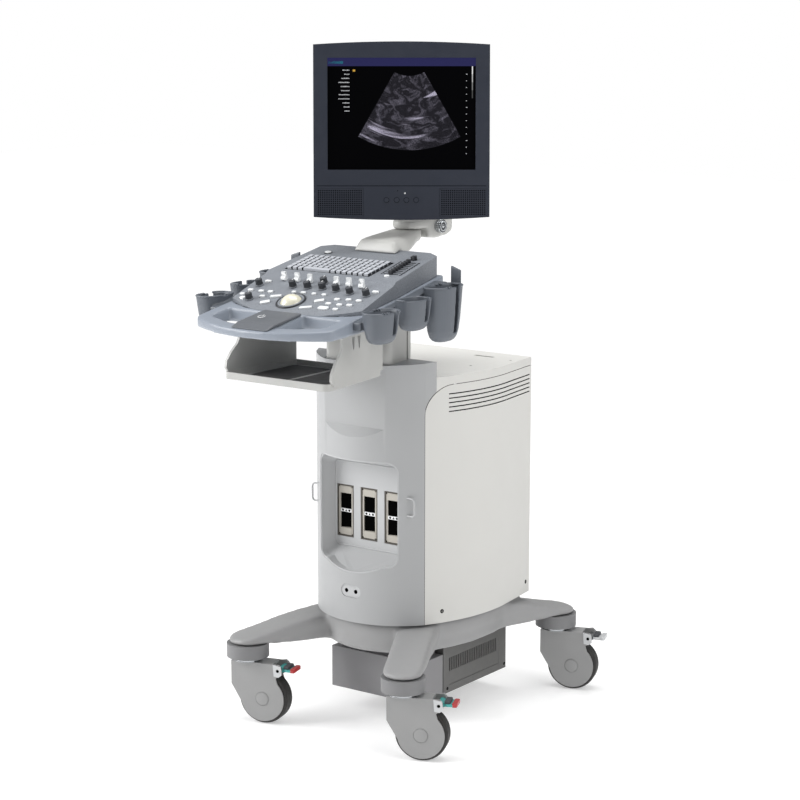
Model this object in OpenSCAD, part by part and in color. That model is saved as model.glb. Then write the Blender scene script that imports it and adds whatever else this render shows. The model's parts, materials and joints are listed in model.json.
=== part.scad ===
// Cart-mounted diagnostic ultrasound machine, an assembly of separate pieces.
// Millimetres, +Z up. The origin is on the floor, midway between the four
// caster stems. The operator stands on the -Y side and X = 0 is the middle.

/* [Casters] */
// Left stems to right stems
stem_dx = 406; // [380:2:430]
// Front stems to rear stems
stem_dy = 578; // [560:2:600]
// Wheel diameter
wheel_d = 110; // [104:1:112]
// Wheel tread width
wheel_w = 34; // [28:1:38]
// Sideways offset of the axle from the stem
trail = 41; // [38:1:44]
// Thickness of the side shells
cheek_t = 3; // [2:0.5:4]
// Gap between a wheel and its side shell
cheek_gap = 1; // [0.6:0.1:2]
// Radius of the side shells around the axle
shell_r = 49; // [44:1:51]
// Axle diameter
axle_d = 8; // [6:0.5:10]
// Swivel stem diameter
stem_d = 14; // [10:1:16]
// Underside of the leg collars above the floor
ring_top = 141; // [139:0.5:144]
// Height of the swivel ring
ring_h = 8; // [6:0.5:9]
// Swivel ring diameter
ring_d = 61; // [50:1:70]
// Brake lever reach beyond its pin
lever_len = 29; // [24:1:31]
// Turn of the front left caster
turn_fl = 15; // [0:1:30]
// Turn of the front right caster
turn_fr = 23; // [0:1:30]
// Turn of the rear left caster
turn_rl = 19; // [0:1:30]
// Turn of the rear right caster
turn_rr = 19; // [0:1:30]

/* [Base] */
// Width of a leg
leg_w = 84; // [76:1:88]
// Where the leg centre lines meet, left and right of the middle
leg_aim = 61; // [50:1:75]
// Height of the leg collars
collar_h = 29; // [24:1:32]
// Diameter of the leg collars
collar_d = 90; // [82:1:94]
// Top of the base cover, where the cabinet stands
body_z = 227; // [222:1:232]
// Lower edge of the base cover at the middle
skirt_z = 194; // [190:1:198]
// Underside of the base pan
pan_z = 160; // [156:1:164]
// How far the base cover lies inside the cabinet outline
skirt_in = 13; // [8:1:16]

/* [Cabinet] */
// Greatest width of the cabinet
body_w = 382; // [370:2:394]
// Radius of the bowed flanks
side_r = 360; // [340:5:400]
// Where the flanks are widest
side_cy = 58; // [40:1:70]
// Where the bowed flank turns straight
flank_end = 120; // [100:1:140]
// Rear face of the cabinet
rear_y = 225; // [215:1:235]
// Width across the rear corners
rear_w = 344; // [330:2:356]
// Radius of the front bow
front_r = 176.5; // [174:0.5:180]
// Centre of the front bow
front_cy = -20.5; // [-24:0.5:-17]
// Seam between front shell and side panels
seam_y = -126; // [-130:1:-122]
// Wall of the plastic shells
wall = 3; // [2:0.5:4]
// Visible seam between shells
seam = 1.2; // [0.8:0.1:2]
// Top of the cabinet cover
cover_z = 749; // [745:1:755]
// Top of the side panels
panel_top = 731; // [726:1:736]
// Radius of the side panels' upper front corner
panel_r = 62; // [50:1:70]
// Rear edge of the front shell above the side panels
shell_back = -103; // [-106:1:-100]
// Top of the front shell at its front edge
ledge_z = 775; // [770:1:780]
// Face of the hollow below the lift column
scoop_y = -180; // [-183:0.5:-179]
// Foot of that hollow
scoop_z = 621; // [610:1:635]
// Half width of the probe port recess
recess_x = 102; // [96:1:108]
// Lower edge of the recess
recess_z0 = 349; // [340:1:360]
// Upper edge of the recess
recess_z1 = 575; // [565:1:585]
// Rear face of the recess
recess_y = -123.5; // [-124:0.5:-123]
// Depth of the socket panel in front of that face
panel_d = 7.5; // [6:0.5:9]
// Half width of the socket panel
panel_x = 88; // [80:1:92]
// Margins of the socket panel below and above
panel_lo = 21; // [16:1:26]
panel_hi = 21; // [16:1:26]
// Corner radius of the recess
recess_r = 24; // [16:1:30]
// Drop of its lower lip in the middle
lip_h = 16; // [8:1:18]
// Spacing of the probe ports
port_pitch = 62; // [58:1:64]
// Width of a port frame
port_w = 43; // [38:1:46]
// Middle height of the ports
port_z = 445; // [438:1:450]
// Height of a port frame
port_h = 112; // [106:1:124]
// Depth of a port frame
port_d = 5.6; // [4:0.2:7]
// Height of the small socket plate
ecg_z = 293; // [288:1:298]
// Height of a cable hook
hook_h = 42; // [36:1:48]
// Reach of a cable hook
hook_d = 19; // [16:1:22]

/* [Power box] */
// Half width of the power box
box_x = 117.5; // [110:0.5:122]
// Underside of the power box
box_z = 44; // [40:1:60]
// Front of the power box
box_y0 = -109; // [-116:1:-100]
// Gap between its front unit and rear case
box_gap = 2.5; // [2:0.5:5]
// Front of the rear case
box_y1 = -24; // [-30:1:-18]
// Rear of the rear case
box_y2 = 218; // [212:1:220]
// Wall of the power box
box_wall = 2.5; // [1.5:0.5:4]
// Gap between the front unit and the base pan
box_drop = 26; // [14:1:30]
// Number of slots in a side vent
vent_n = 27; // [12:1:30]

/* [Lift column] */
// Half width of the column covers
col_x = 84; // [78:1:86]
// Radius of its front corners
col_r = 12; // [6:1:16]
// Front face of the column
col_y0 = -172; // [-174:0.5:-168]
// Joint between front and rear column cover
col_y1 = -112; // [-116:1:-108]
// Rear face of the column
col_y2 = -98; // [-99:0.5:-96]
// Open seam between the front and rear column cover
col_seam = 4; // [1:0.5:6]
// Lower end of the column covers at rest
col_z0 = 688; // [670:1:690]
// Clearance around the column in the cabinet
col_gap = 1.5; // [1:0.1:2.5]
// Half width of the lift tube
tube_x = 40; // [34:1:44]
// Front face of the lift tube
tube_y0 = -119; // [-119.5:0.5:-117]
// Rear face of the lift tube
tube_y1 = -103; // [-105:0.5:-102]
// Lower end of the lift tube at rest
tube_z0 = 420; // [380:5:440]
// Top of the fixed guide
guide_z1 = 640; // [600:5:650]
// Running clearance of the lift tube in its guide
tube_gap = 0.5; // [0.3:0.1:1]
// Wall of guide and tube
tube_wall = 3; // [2:0.5:3]

/* [Console] */
// Half width across the handle corners
rail_x = 171; // [165:1:176]
// Handle corners, front
rail_y0 = -474; // [-480:1:-468]
// Rear edge of the console
rail_y1 = -84; // [-92:1:-78]
// Half width at the rear edge
rail_x1 = 157; // [150:1:162]
// Radius of the front bow of the handle
bow_r = 325; // [290:5:380]
// Top of the handle at its corners: console and monitor follow it
rail_top = 893; // [885:1:900]
// Height of the handle bar at its corners
bar_h = 21; // [17:1:25]
// Radius of the handle's corners
corner_r = 22; // [16:1:26]
// Rise of the rail's upper edge per millimetre to the rear
rail_rise = 0.17; // [0.16:0.002:0.176]
// Rise of the underside per millimetre to the rear
low_rise = 0.06; // [0.04:0.002:0.08]
// Depth of the handle bar, front to back
bar_d = 30; // [26:1:34]
// Front edge of the control deck
deck_y0 = -408; // [-412:1:-402]
// Rise of the control deck's front edge above the handle
deck_step = 12; // [8:1:16]
// Slope of the control deck
deck_rise = 0.36; // [0.32:0.01:0.38]
// Riser between control deck and keyboard deck
riser_y = -266; // [-270:1:-262]
// Rise of the keyboard deck, at the riser, above the handle
key_step = 68; // [65:1:71]
// Slope of the keyboard deck
key_rise = 0.22; // [0.18:0.01:0.24]
// Half width of the deck
deck_x = 163; // [158:1:166]
// Half width of the deck at the rear
deck_x1 = 149; // [144:1:152]
// Thickness of the palm rest
palm_t = 7; // [4:1:10]
// Half width of the palm rest
palm_x = 46; // [40:1:52]
// Wall of the console shells
deck_t = 4; // [3:0.5:5]

/* [Controls] */
// Trackball diameter
ball_d = 50; // [44:1:54]
// Clearance round the trackball
ball_gap = 0.6; // [0.4:0.1:1]
// Knob diameter
knob_d = 16; // [12:1:18]
// Knob height
knob_h = 14; // [10:1:18]
// Diameter of a knob's shaft
shaft_d = 6; // [4:0.5:8]
// Gap round buttons and keys
key_gap = 0.5; // [0.3:0.1:0.8]
// Button travel
key_travel = 1.2; // [0.8:0.1:1.6]
// Key spacing
key_pitch = 14; // [13:0.1:14.4]
// Height of a key above its tray
key_h = 4.5; // [3:0.5:6]

/* [Monitor] */
// Vertical pivot of the arm, from the middle along Y
arm_y = 5; // [0:1:10]
// Diameter of the arm hub
hub_d = 61; // [56:1:64]
// Top of the fixed hub above the handle
hub_step = 142; // [139:1:145]
// Height of the arm link above the hub
link_h = 19; // [17:1:21]
// Rear pivot of the arm link
link_y = 115; // [110:1:118]
// Diameter of the lower pivot pin
pivot_d = 24; // [18:1:30]
// Sideways distance from the rear pivot to the screen centre
head_dx = 76.3; // [70:0.1:82]
// Distance from the rear pivot forward to the screen
head_dy = 153.5; // [148:0.1:158]
// Tilt axis behind the screen
tilt_y = 92; // [90:1:96]
// Tilt axis below the screen centre
tilt_z = -40; // [-50:1:-30]
// Half width of the monitor
mon_x = 181; // [178:1:190]
// Top of the monitor above the screen centre
mon_top = 141; // [138:1:150]
// Bottom of the monitor below the screen centre
mon_low = 211; // [204:1:220]
// Extra height of the bowed top and bottom edges
mon_bow = 6; // [3:1:10]
// Radius of the monitor's corners
mon_r = 7; // [4:1:16]
// Depth of the front frame
bezel_t = 20; // [16:1:22]
// Depth of the rear cover behind the frame
back_t = 46; // [36:1:52]
// Width of the visible screen, 15 inch at 4:3
lcd_w = 304; // [296:1:308]
// Height of the visible screen
lcd_h = 228; // [222:1:232]
// Height of the screen centre above the handle
mon_step = 385; // [380:0.5:390]
// Direction that the screen faces
mon_turn = 36; // [0:1:60]
// Backward lean of the screen
mon_lean = 5.2; // [0:0.1:10]

/* [Holders and tray] */
// Middle of the probe cups from the centre line
cup_x = 210; // [206:1:215]
// Half width of a cup
cup_a = 27; // [24:1:30]
// Wall of a cup
cup_wall = 4; // [3:0.5:5]
// Half width of the tray at its rear edge
tray_x = 113; // [108:1:116]
// Half width of the tray at its front edge
tray_x0 = 137; // [130:1:140]
// Tray plate thickness
tray_t = 4; // [3:0.5:6]
// Front edge of the tray
tray_y0 = -440; // [-446:1:-434]
// Rear edge of the tray
tray_y1 = -235; // [-240:1:-228]
// Depth of the tray's underside below the handle
tray_drop = 127; // [121:1:133]

/* [Hidden] */
$fn = 64;
fit = 0.05;
rail_low = rail_top - bar_h;
col_z1 = rail_low - 2;
deck_z0 = rail_top + deck_step;
key_z0 = rail_top + key_step;
foot_z = key_z(-112);
hub_z = rail_top + hub_step;
hub_z0 = hub_z - 27;
link_top = hub_z + link_h;
mon_z = rail_top + mon_step;
tray_z = rail_top - tray_drop;
knob_y = 73;
far = 400;
under = rail_low - 72;
over = rail_top + 207;

grey_shell = [0.67, 0.69, 0.71];
warm_white = [0.84, 0.83, 0.80];
base_grey = [0.69, 0.70, 0.71];
console_grey = [0.55, 0.58, 0.62];

// Derived: casters
axle_z = wheel_d / 2;
ring_z = ring_top - ring_h;
fork_top = ring_z - 0.3;
boss_z = wheel_d + 2;
in_w = wheel_w / 2 + cheek_gap;
pin_x = trail + 37;
pin_z = wheel_d + 10;
pin_d = 5;
// Derived: legs
leg_ang = atan2(stem_dy / 2, stem_dx / 2 - leg_aim);
leg_len = norm([stem_dx / 2 - leg_aim, stem_dy / 2]);
collar_top = ring_top + collar_h;
// Derived: console planes
function low_z(y) = rail_low + low_rise * (y - rail_y0);
function rail_z(y) = rail_top + rail_rise * (y - rail_y0);
function deck_z(y) = deck_z0 + deck_rise * (y - deck_y0);
function key_z(y) = key_z0 + key_rise * (y - riser_y);
function ledge(y) = ledge_z + 0.067 * (y - front_cy + front_r);
deck_tilt = atan(deck_rise);
key_tilt = atan(key_rise);
bow_cy = rail_y0 + sqrt(bow_r * bow_r - rail_x * rail_x);

// Draws a Y-Z profile from x0 to x1
module along_x(x0, x1) translate([x0, 0, 0]) rotate([90, 0, 90])
  linear_extrude(x1 - x0) children();
// Draws an X-Z profile from y0 to y1
module along_y(y0, y1) translate([0, y1, 0]) rotate([90, 0, 0])
  linear_extrude(y1 - y0) children();
// Draws an X-Y profile from z0 to z1
module along_z(z0, z1) translate([0, 0, z0]) linear_extrude(z1 - z0) children();
// Rectangle centred on the origin with rounded corners
module rrect(w, h, r) {
  square([w - 2 * r, h], center = true);
  square([w, h - 2 * r], center = true);
  for (sx = [-1, 1], sy = [-1, 1])
    translate([sx * (w / 2 - r), sy * (h / 2 - r)]) circle(r = r);
}
// A box from one corner to the other
module block(x0, x1, y0, y1, z0, z1)
  translate([x0, y0, z0]) cube([x1 - x0, y1 - y0, z1 - z0]);

// Closed solid through rings of points, each ring given from below upwards
module loft(rings) {
  n = len(rings[0]);
  m = len(rings);
  polyhedron(
    points = [for (r = rings, p = r) p],
    faces = concat(
      [[for (i = [0:n - 1]) i]],
      [[for (i = [0:n - 1]) (m - 1) * n + n - 1 - i]],
      [for (k = [0:m - 2], i = [0:n - 1])
        [k * n + i, (k + 1) * n + i, (k + 1) * n + (i + 1) % n]],
      [for (k = [0:m - 2], i = [0:n - 1])
        [k * n + i, (k + 1) * n + (i + 1) % n, k * n + (i + 1) % n]]));
}
function sgn_pow(v, p) = sign(v) * pow(abs(v), p);
// One rounded ring, exponent e of 2 is an ellipse and more is squarer
function ring(cx, cy, z, a, b, e, n) = [for (i = [0:n - 1])
  let (t = 360 * (i + 0.5) / n)
  [cx + a * sgn_pow(cos(t), 2 / e), cy + b * sgn_pow(sin(t), 2 / e), z]];

// ---------- casters ----------

module cheek2d() {
  translate([trail, axle_z]) circle(r = shell_r);
  polygon([[-30, fork_top], [-30, 82],
    [trail + 0.95 * shell_r * cos(207), axle_z + 0.95 * shell_r * sin(207)],
    [trail, axle_z + 6],
    [trail + 0.95 * shell_r * cos(38), axle_z + 0.95 * shell_r * sin(38)],
    [pin_x - 6, pin_z - 18], [pin_x + 8, pin_z - 7],
    [pin_x + 8, pin_z + 5], [pin_x + 3, fork_top]]);
}
module caster_shell() color([0.63, 0.63, 0.63]) {
  difference() {
    union() {
      along_y(in_w, in_w + cheek_t) cheek2d();
      along_y(-in_w - cheek_t, -in_w) cheek2d();
      along_y(-in_w, in_w) polygon([[-30, fork_top], [-30, 84], [-27, 82],
        [-27, fork_top - 5], [pin_x - 14, fork_top - 5], [pin_x - 14, fork_top]]);
      translate([0, 0, boss_z]) cylinder(d = stem_d + 12, h = fork_top - boss_z);
    }
    translate([0, 0, boss_z - 1])
      cylinder(d = stem_d + 2 * fit, h = fork_top - boss_z + 2);
  }
  along_y(-in_w - cheek_t - 0.6, in_w + cheek_t + 0.6)
    translate([trail, axle_z]) circle(d = axle_d);
  along_y(-in_w - cheek_t, in_w + cheek_t) translate([pin_x, pin_z]) circle(d = pin_d);
}
module caster_wheel() color([0.20, 0.20, 0.21]) {
  r = wheel_d / 2;
  x0 = axle_d / 2 + fit;
  translate([trail, 0, axle_z]) rotate([90, 0, 0]) rotate_extrude() {
    translate([x0, -wheel_w / 2]) square([r - 6 - x0, wheel_w]);
    translate([x0, 6 - wheel_w / 2]) square([r - x0, wheel_w - 12]);
    for (s = [-1, 1]) translate([r - 6, s * (wheel_w / 2 - 6)]) circle(r = 6);
  }
}
module caster_pedal() color([0.25, 0.58, 0.58]) difference() {
  union() {
    along_y(0.4 - in_w, in_w - 0.4) translate([pin_x, pin_z]) circle(d = 12);
    along_y(-13, 13) polygon([[pin_x - 3, pin_z + 1], [pin_x, pin_z + 6],
      [pin_x + 10, pin_z + 5], [pin_x + lever_len, pin_z + 1],
      [pin_x + lever_len, pin_z - 3], [pin_x + 12, pin_z - 3],
      [pin_x + 2, pin_z - 6]]);
  }
  along_y(-in_w, in_w) translate([pin_x, pin_z]) circle(d = pin_d + 2 * fit);
}
// Sets a caster piece under one stem
module at_stem(sx, sy, turn)
  translate([sx * stem_dx / 2, sy * stem_dy / 2, 0]) rotate(turn) children();

module caster_stems() {
  for (sx = [-1, 1], sy = [-1, 1]) at_stem(sx, sy, 0) {
    color("silver") {
      translate([0, 0, ring_z]) cylinder(d = ring_d, h = ring_h);
      translate([0, 0, boss_z + 0.5]) cylinder(d = stem_d, h = ring_z - boss_z);
    }
    color([0.48, 0.48, 0.49])
      translate([0, 0, ring_top]) cylinder(d = collar_d, h = collar_h);
  }
}

// ---------- base ----------

module each_leg() for (mx = [0, 1], my = [0, 1])
  mirror([mx, 0, 0]) mirror([0, my, 0])
    translate([stem_dx / 2, -stem_dy / 2, 0]) rotate(180 - leg_ang) children();
module leg2d(w) {
  circle(d = w);
  translate([0, -w / 2]) square([leg_len, w]);
}
module base_cover() color(base_grey) {
  each_leg() intersection() {
    along_z(collar_top - 10, body_z + 10) leg2d(leg_w);
    along_y(-leg_w, leg_w) polygon([[-60, collar_top], [collar_d / 2 + 1, collar_top],
      [120, skirt_z - 3], [200, skirt_z], [leg_len + 1, skirt_z + 1],
      [leg_len + 1, body_z], [220, body_z], [180, body_z - 5], [130, body_z - 11],
      [80, body_z - 20], [34, body_z - 31], [4, body_z - 37], [-25, body_z - 42],
      [-60, body_z - 50]]);
  }
  along_z(skirt_z, body_z) plan2d(skirt_in);
}
module base_pan() color([0.60, 0.61, 0.62]) {
  each_leg() intersection() {
    along_z(pan_z - 10, skirt_z) leg2d(leg_w - 12);
    along_y(-leg_w, leg_w) polygon([[collar_d / 2 + 1, collar_top - 4],
      [120, pan_z + 2], [leg_len + 1, pan_z], [leg_len + 1, skirt_z],
      [200, skirt_z], [120, skirt_z - 3], [collar_d / 2 + 1, collar_top]]);
  }
  difference() {
    along_z(pan_z, skirt_z) plan2d(skirt_in + 6);
    // room for the cover's legs, which reach lower than its skirt
    each_leg() along_y(-leg_w / 2 - 0.5, leg_w / 2 + 0.5)
      polygon([[0, collar_top], [collar_d / 2 + 1, collar_top], [120, skirt_z - 3],
        [200, skirt_z], [210, skirt_z + 5], [0, skirt_z + 5]]);
  }
}

// ---------- cabinet ----------

// Half width of the cabinet at a place along Y
function flank_x(y) = body_w / 2 - side_r
  + sqrt(side_r * side_r - (y - side_cy) * (y - side_cy));
// Outline of the cabinet, moved inwards by i
module plan2d(i) {
  intersection() {
    translate([0, front_cy]) circle(r = front_r - i, $fn = 128);
    translate([-far, -far]) square([2 * far, far + seam_y]);
  }
  intersection() {
    translate([side_r - body_w / 2, side_cy]) circle(r = side_r - i, $fn = 192);
    translate([body_w / 2 - side_r, side_cy]) circle(r = side_r - i, $fn = 192);
    translate([-far, seam_y]) square([2 * far, flank_end - seam_y]);
  }
  polygon([[-flank_x(flank_end) + i, flank_end], [flank_x(flank_end) - i, flank_end],
    [rear_w / 2 - i, rear_y - i], [i - rear_w / 2, rear_y - i]]);
}
// Side view of a side panel, grown by g at its front and top
module panel2d(g) {
  translate([seam_y - g, body_z]) square([far, panel_top - panel_r - body_z]);
  translate([seam_y + panel_r, body_z]) square([far, panel_top + g - body_z]);
  translate([seam_y + panel_r, panel_top - panel_r]) circle(r = panel_r + g);
}
module scoop2d(g) polygon([[-far, scoop_z - g], [front_cy - front_r - 1, scoop_z - g],
  [scoop_y + g, scoop_z + 22 - g / 2], [scoop_y + g, far * 3], [-far, far * 3]]);

module front_shell() color(grey_shell) difference() {
  intersection() {
    along_z(body_z, ledge_z + 40) plan2d(0);
    along_x(-far, far) difference() {
      polygon([[-far, body_z], [shell_back, body_z], [shell_back, ledge(shell_back)],
        [-far, ledge(-far)]]);
      panel2d(seam);
    }
  }
  along_x(-far, far) scoop2d(0);
  difference() {
    intersection() {
      along_z(body_z - 1, ledge_z + 40) plan2d(wall);
      along_x(-far, far) polygon([[-far, body_z - 1], [shell_back + 40, body_z - 1],
        [shell_back + 40, panel_top - 8], [shell_back - wall, panel_top - 8],
        [shell_back - wall, ledge(shell_back) - wall], [-far, ledge(-far) - wall]]);
    }
    along_x(-col_x - 12, col_x + 12) scoop2d(wall);
  }
  block(-col_x - col_gap, col_x + col_gap, col_y0 - col_gap, shell_back + 1,
    col_z0 - 60, far * 3);
  along_y(-far, recess_y) recess2d(0);
  along_y(-far, -150) ecg2d(0);
}

module side_panel() color(warm_white) difference() {
  intersection() {
    along_z(body_z, cover_z) difference() {
      plan2d(0);
      plan2d(wall);
    }
    block(0, far, -far, rear_y, body_z, cover_z);
    along_x(0, far) panel2d(0);
  }
  // five vent slots near the top
  for (k = [0:4]) block(far / 3, far, seam_y + 50, rear_y - 8,
    panel_top - 57 + 9.2 * k, panel_top - 54.6 + 9.2 * k);
  // opening for the rear panel
  block(-1, rear_w / 2 - 14, rear_y - wall - 1, rear_y + 1, 0, far * 3);
}
module side_panel_right() side_panel();
module side_panel_left() mirror([1, 0, 0]) side_panel();

module rear_panel() color(warm_white) {
  w = rear_w / 2 - 14;
  difference() {
    block(-w, w, rear_y - wall, rear_y, body_z, panel_top);
    for (k = [0:11], s = [-1, 1])
      block(s * 75 - 60, s * 75 + 60, rear_y - 9, rear_y + 1,
        560 + 12 * k, 565 + 12 * k);
    for (k = [0:4]) block(-140 + 60 * k, -100 + 60 * k, rear_y - 9, rear_y + 1, 290, 308);
  }
  for (k = [0:4]) difference() {
    block(-140 + 60 * k, -100 + 60 * k, rear_y - 12, rear_y + 1, 290, 308);
    block(-137 + 60 * k, -103 + 60 * k, rear_y - 8, rear_y + 2, 293, 305);
  }
}

module top_cover() color(warm_white) difference() {
  intersection() {
    along_z(body_z, cover_z) plan2d(0);
    along_x(-far, far) difference() {
      polygon([[shell_back, panel_top - panel_r], [far, panel_top - panel_r],
        [far, cover_z], [shell_back, cover_z]]);
      panel2d(seam);
    }
  }
  along_z(body_z, cover_z - wall - 1) plan2d(wall);
  block(-col_x - col_gap, col_x + col_gap, -far, col_y2 + col_gap, 0, far * 3);
  // service slot and two screw recesses
  block(60, 110, 168, 178, cover_z - 2, cover_z + 1);
  for (p = [[128, 57], [160, 161]])
    translate([p[0], p[1], cover_z - 2]) cylinder(d = 7, h = 3);
}

module chassis_frame() color([0.72, 0.73, 0.74]) {
  along_z(body_z, body_z + 4) plan2d(wall);
  post = 18;
  for (s = [-1, 1]) {
    for (y = [shell_back + 1.5, rear_y - 30 - post])
      block(s * 118 - post / 2, s * 118 + post / 2, y, y + post,
        body_z + 4, cover_z - wall - 1);
    block(s * 118 - 5, s * 118 + 5, shell_back + 10, rear_y - 30 - post, 640, 660);
  }
  gx = tube_x + tube_gap;
  difference() {
    block(-gx - tube_wall, gx + tube_wall, tube_y0 - tube_gap - tube_wall,
      tube_y1 + tube_gap + tube_wall, body_z + 4, guide_z1);
    block(-gx, gx, tube_y0 - tube_gap, tube_y1 + tube_gap, body_z + 3, guide_z1 + 1);
  }
  for (s = [-1, 1]) block(s > 0 ? gx + tube_wall : -109, s > 0 ? 109 : -gx - tube_wall,
    tube_y1 + tube_gap + tube_wall - 8, shell_back + 8, 590, 620);
}

module card_cage() color([0.66, 0.68, 0.66]) {
  z0 = body_z + 4;
  for (s = [-1, 1]) block(s > 0 ? 100 : -103, s > 0 ? 103 : -100, -60, 150, z0, 560);
  block(-100, 100, -60, 150, 300, 303);
  difference() {
    block(-100, 100, 147, 150, 303, 560);
    translate([0, 0, 430]) along_y(140, 160) circle(d = 124);
  }
  // fan housing with its fixed hub
  translate([0, 0, 430]) {
    along_y(150, 176) difference() {
      circle(d = 132);
      circle(d = 124);
    }
    along_y(173, 176) {
      circle(d = 36);
      for (a = [45:90:315]) rotate(a) translate([0, -3]) square([64, 6]);
    }
    along_y(153, 174) circle(d = 6);
  }
  // circuit boards
  for (k = [-4:4]) color([0.15, 0.4, 0.25]) block(22 * k - 1, 22 * k + 1, -55, 135, 303, 540);
}
module fan_rotor() color([0.16, 0.16, 0.17]) translate([0, 163, 430]) rotate([90, 0, 0]) {
  difference() {
    union() {
      cylinder(d = 40, h = 18, center = true);
      for (a = [0:51.43:359]) rotate(a) translate([38, 0, 0]) rotate([28, 0, 0])
        cube([38, 22, 2], center = true);
    }
    cylinder(d = 6 + 2 * fit, h = 30, center = true);
  }
}

// Opening of the port recess, moved inwards by i, with its bowed lower lip
module recess2d(i) {
  translate([0, (recess_z0 + recess_z1) / 2])
    rrect(2 * (recess_x - i), recess_z1 - recess_z0 - 2 * i, recess_r - i);
  half = recess_x - recess_r - 6;
  lip_r = (half * half + lip_h * lip_h) / 2 / lip_h;
  intersection() {
    translate([0, recess_z0 - lip_h + lip_r]) circle(r = lip_r - i, $fn = 128);
    translate([-half - 2, recess_z0 - 2 * lip_h]) square([2 * half + 4, 4 * lip_h]);
  }
}
// One ring of points round a rectangle with rounded corners, at depth d
function rring(x, z0, z1, r, d) = [for (q = [0:3], a = [0:18:90])
  let (sx = q == 0 || q == 3 ? 1 : -1, sz = q < 2 ? 1 : -1, t = 90 * q + a)
  [sx * (x - r) + r * cos(t), (sz > 0 ? z1 - r : z0 + r) + r * sin(t), d]];
module port_recess() color([0.72, 0.74, 0.76]) {
  face = recess_y - panel_d;
  reach = 70;
  difference() {
    intersection() {
      along_z(recess_z0 - 2 * lip_h, recess_z1) plan2d(1);
      along_y(-far, recess_y) recess2d(0);
    }
    // hollow that widens from the socket panel towards the front
    intersection() {
      along_y(-far, face + 1) recess2d(wall);
      rotate([90, 0, 0]) loft([
        rring(panel_x, recess_z0 + panel_lo, recess_z1 - panel_hi, 9, -face),
        rring(panel_x + 0.45 * reach, recess_z0 + panel_lo - 0.68 * reach,
          recess_z1 - panel_hi + 0.7 * reach, 40, reach - face)]);
    }
    for (k = [-1:1]) along_y(face - 1, recess_y - 1.5)
      translate([k * port_pitch, port_z]) square([port_w + 1, port_h + 1], center = true);
  }
}
module probe_ports() {
  y = recess_y - 1.5;
  for (k = [-1:1]) translate([k * port_pitch, 0, port_z]) {
    color([0.42, 0.38, 0.33]) along_y(y - port_d, y) difference() {
      rrect(port_w, port_h, 1.5);
      rrect(port_w - 5, port_h - 5, 1);
    }
    color([0.42, 0.38, 0.33]) along_y(y - 1, y)
      square([port_w - 3, port_h - 3], center = true);
    color([0.85, 0.82, 0.74]) for (s = [-1, 1])
      along_y(y - port_d + 1, y) translate([0, s * (port_h / 2 - 11)])
        square([port_w - 13, 15], center = true);
    color([0.1, 0.1, 0.11]) for (s = [-1, 1])
      along_y(y - 1.8, y) translate([0, s * 20])
        square([port_w - 15, 32], center = true);
    color([0.85, 0.82, 0.74]) for (s = [-1, 1])
      along_y(y - port_d + 1.5, y) translate([s * (port_w / 2 - 5), 0])
        square([4, port_h - 12], center = true);
    color("white") along_y(y - port_d + 2, y)
      square([port_w - 15, 7], center = true);
  }
}
// Outline of the round-ended plate with the two small sockets
module ecg2d(i) translate([0, ecg_z]) rrect(50 - 2 * i, 27 - 2 * i, 13.4 - i);
module ecg_plate() color([0.72, 0.74, 0.76]) {
  y = front_cy - front_r + 3;
  difference() {
    along_y(y, y + 11) ecg2d(0);
    for (s = [-1, 1]) along_y(y - 1, y + 8) translate([s * 12, ecg_z]) circle(d = 9);
  }
  for (s = [-1, 1]) along_y(y + 1, y + 9) translate([s * 12, ecg_z]) circle(d = 3.4);
}
module cable_hooks() color([0.72, 0.74, 0.76]) for (s = [-1, 1]) {
  a = acos(119 / front_r);
  r = 3;
  translate([0, front_cy, 481]) rotate(s > 0 ? -a : a - 180)
    translate([front_r - 0.02, 0, 0]) rotate([90, 0, 0]) {
      for (t = [-1, 1]) {
        translate([0, t * (hook_h / 2 - r), 0]) rotate([0, 90, 0])
          cylinder(r = r, h = hook_d - 9);
        translate([hook_d - 9, t * (hook_h / 2 - 9), 0]) rotate(t > 0 ? 0 : -90)
          rotate_extrude(angle = 90) translate([6, 0]) circle(r = r);
      }
      translate([hook_d - 3, 9 - hook_h / 2, 0]) rotate([-90, 0, 0])
        cylinder(r = r, h = hook_h - 18);
    }
}

// ---------- power box ----------

module power_case() color([0.50, 0.49, 0.51]) difference() {
  block(-box_x, box_x, box_y1, box_y2, box_z, pan_z);
  block(box_wall - box_x, box_x - box_wall, box_y1 + box_wall, box_y2 - box_wall,
    box_z + box_wall, pan_z + 1);
  p = 185 / vent_n;
  for (k = [0:vent_n - 1]) block(-far, far, box_y1 + 21 + k * p,
    box_y1 + 21 + k * p + p / 2, box_z + 47, box_z + 77);
  for (s = [-1, 1]) {
    x = s * box_x;
    block(x - 1, x + 1, box_y1 + 211.5, box_y1 + 213, box_z + 16, box_z + 79);
    block(x - 1, x + 1, box_y1 + 22, box_y1 + 213, box_z + 16, box_z + 17.5);
  }
  block(-91, -29, box_y2 - 5, box_y2 + 1, box_z + 25, box_z + 61);
}
module power_front() color([0.50, 0.49, 0.51]) {
  y1 = box_y1 - box_gap;
  difference() {
    block(-box_x, box_x, box_y0, y1, box_z, pan_z - box_drop);
    block(box_wall - box_x, box_x - box_wall, box_y0 + box_wall, y1 - box_wall,
      box_z + box_wall, pan_z - box_drop - box_wall);
  }
  block(-100, 100, box_y0 + 12, y1 - 4, pan_z - box_drop, pan_z);
}
module power_box() {
  power_case();
  power_front();
}
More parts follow.
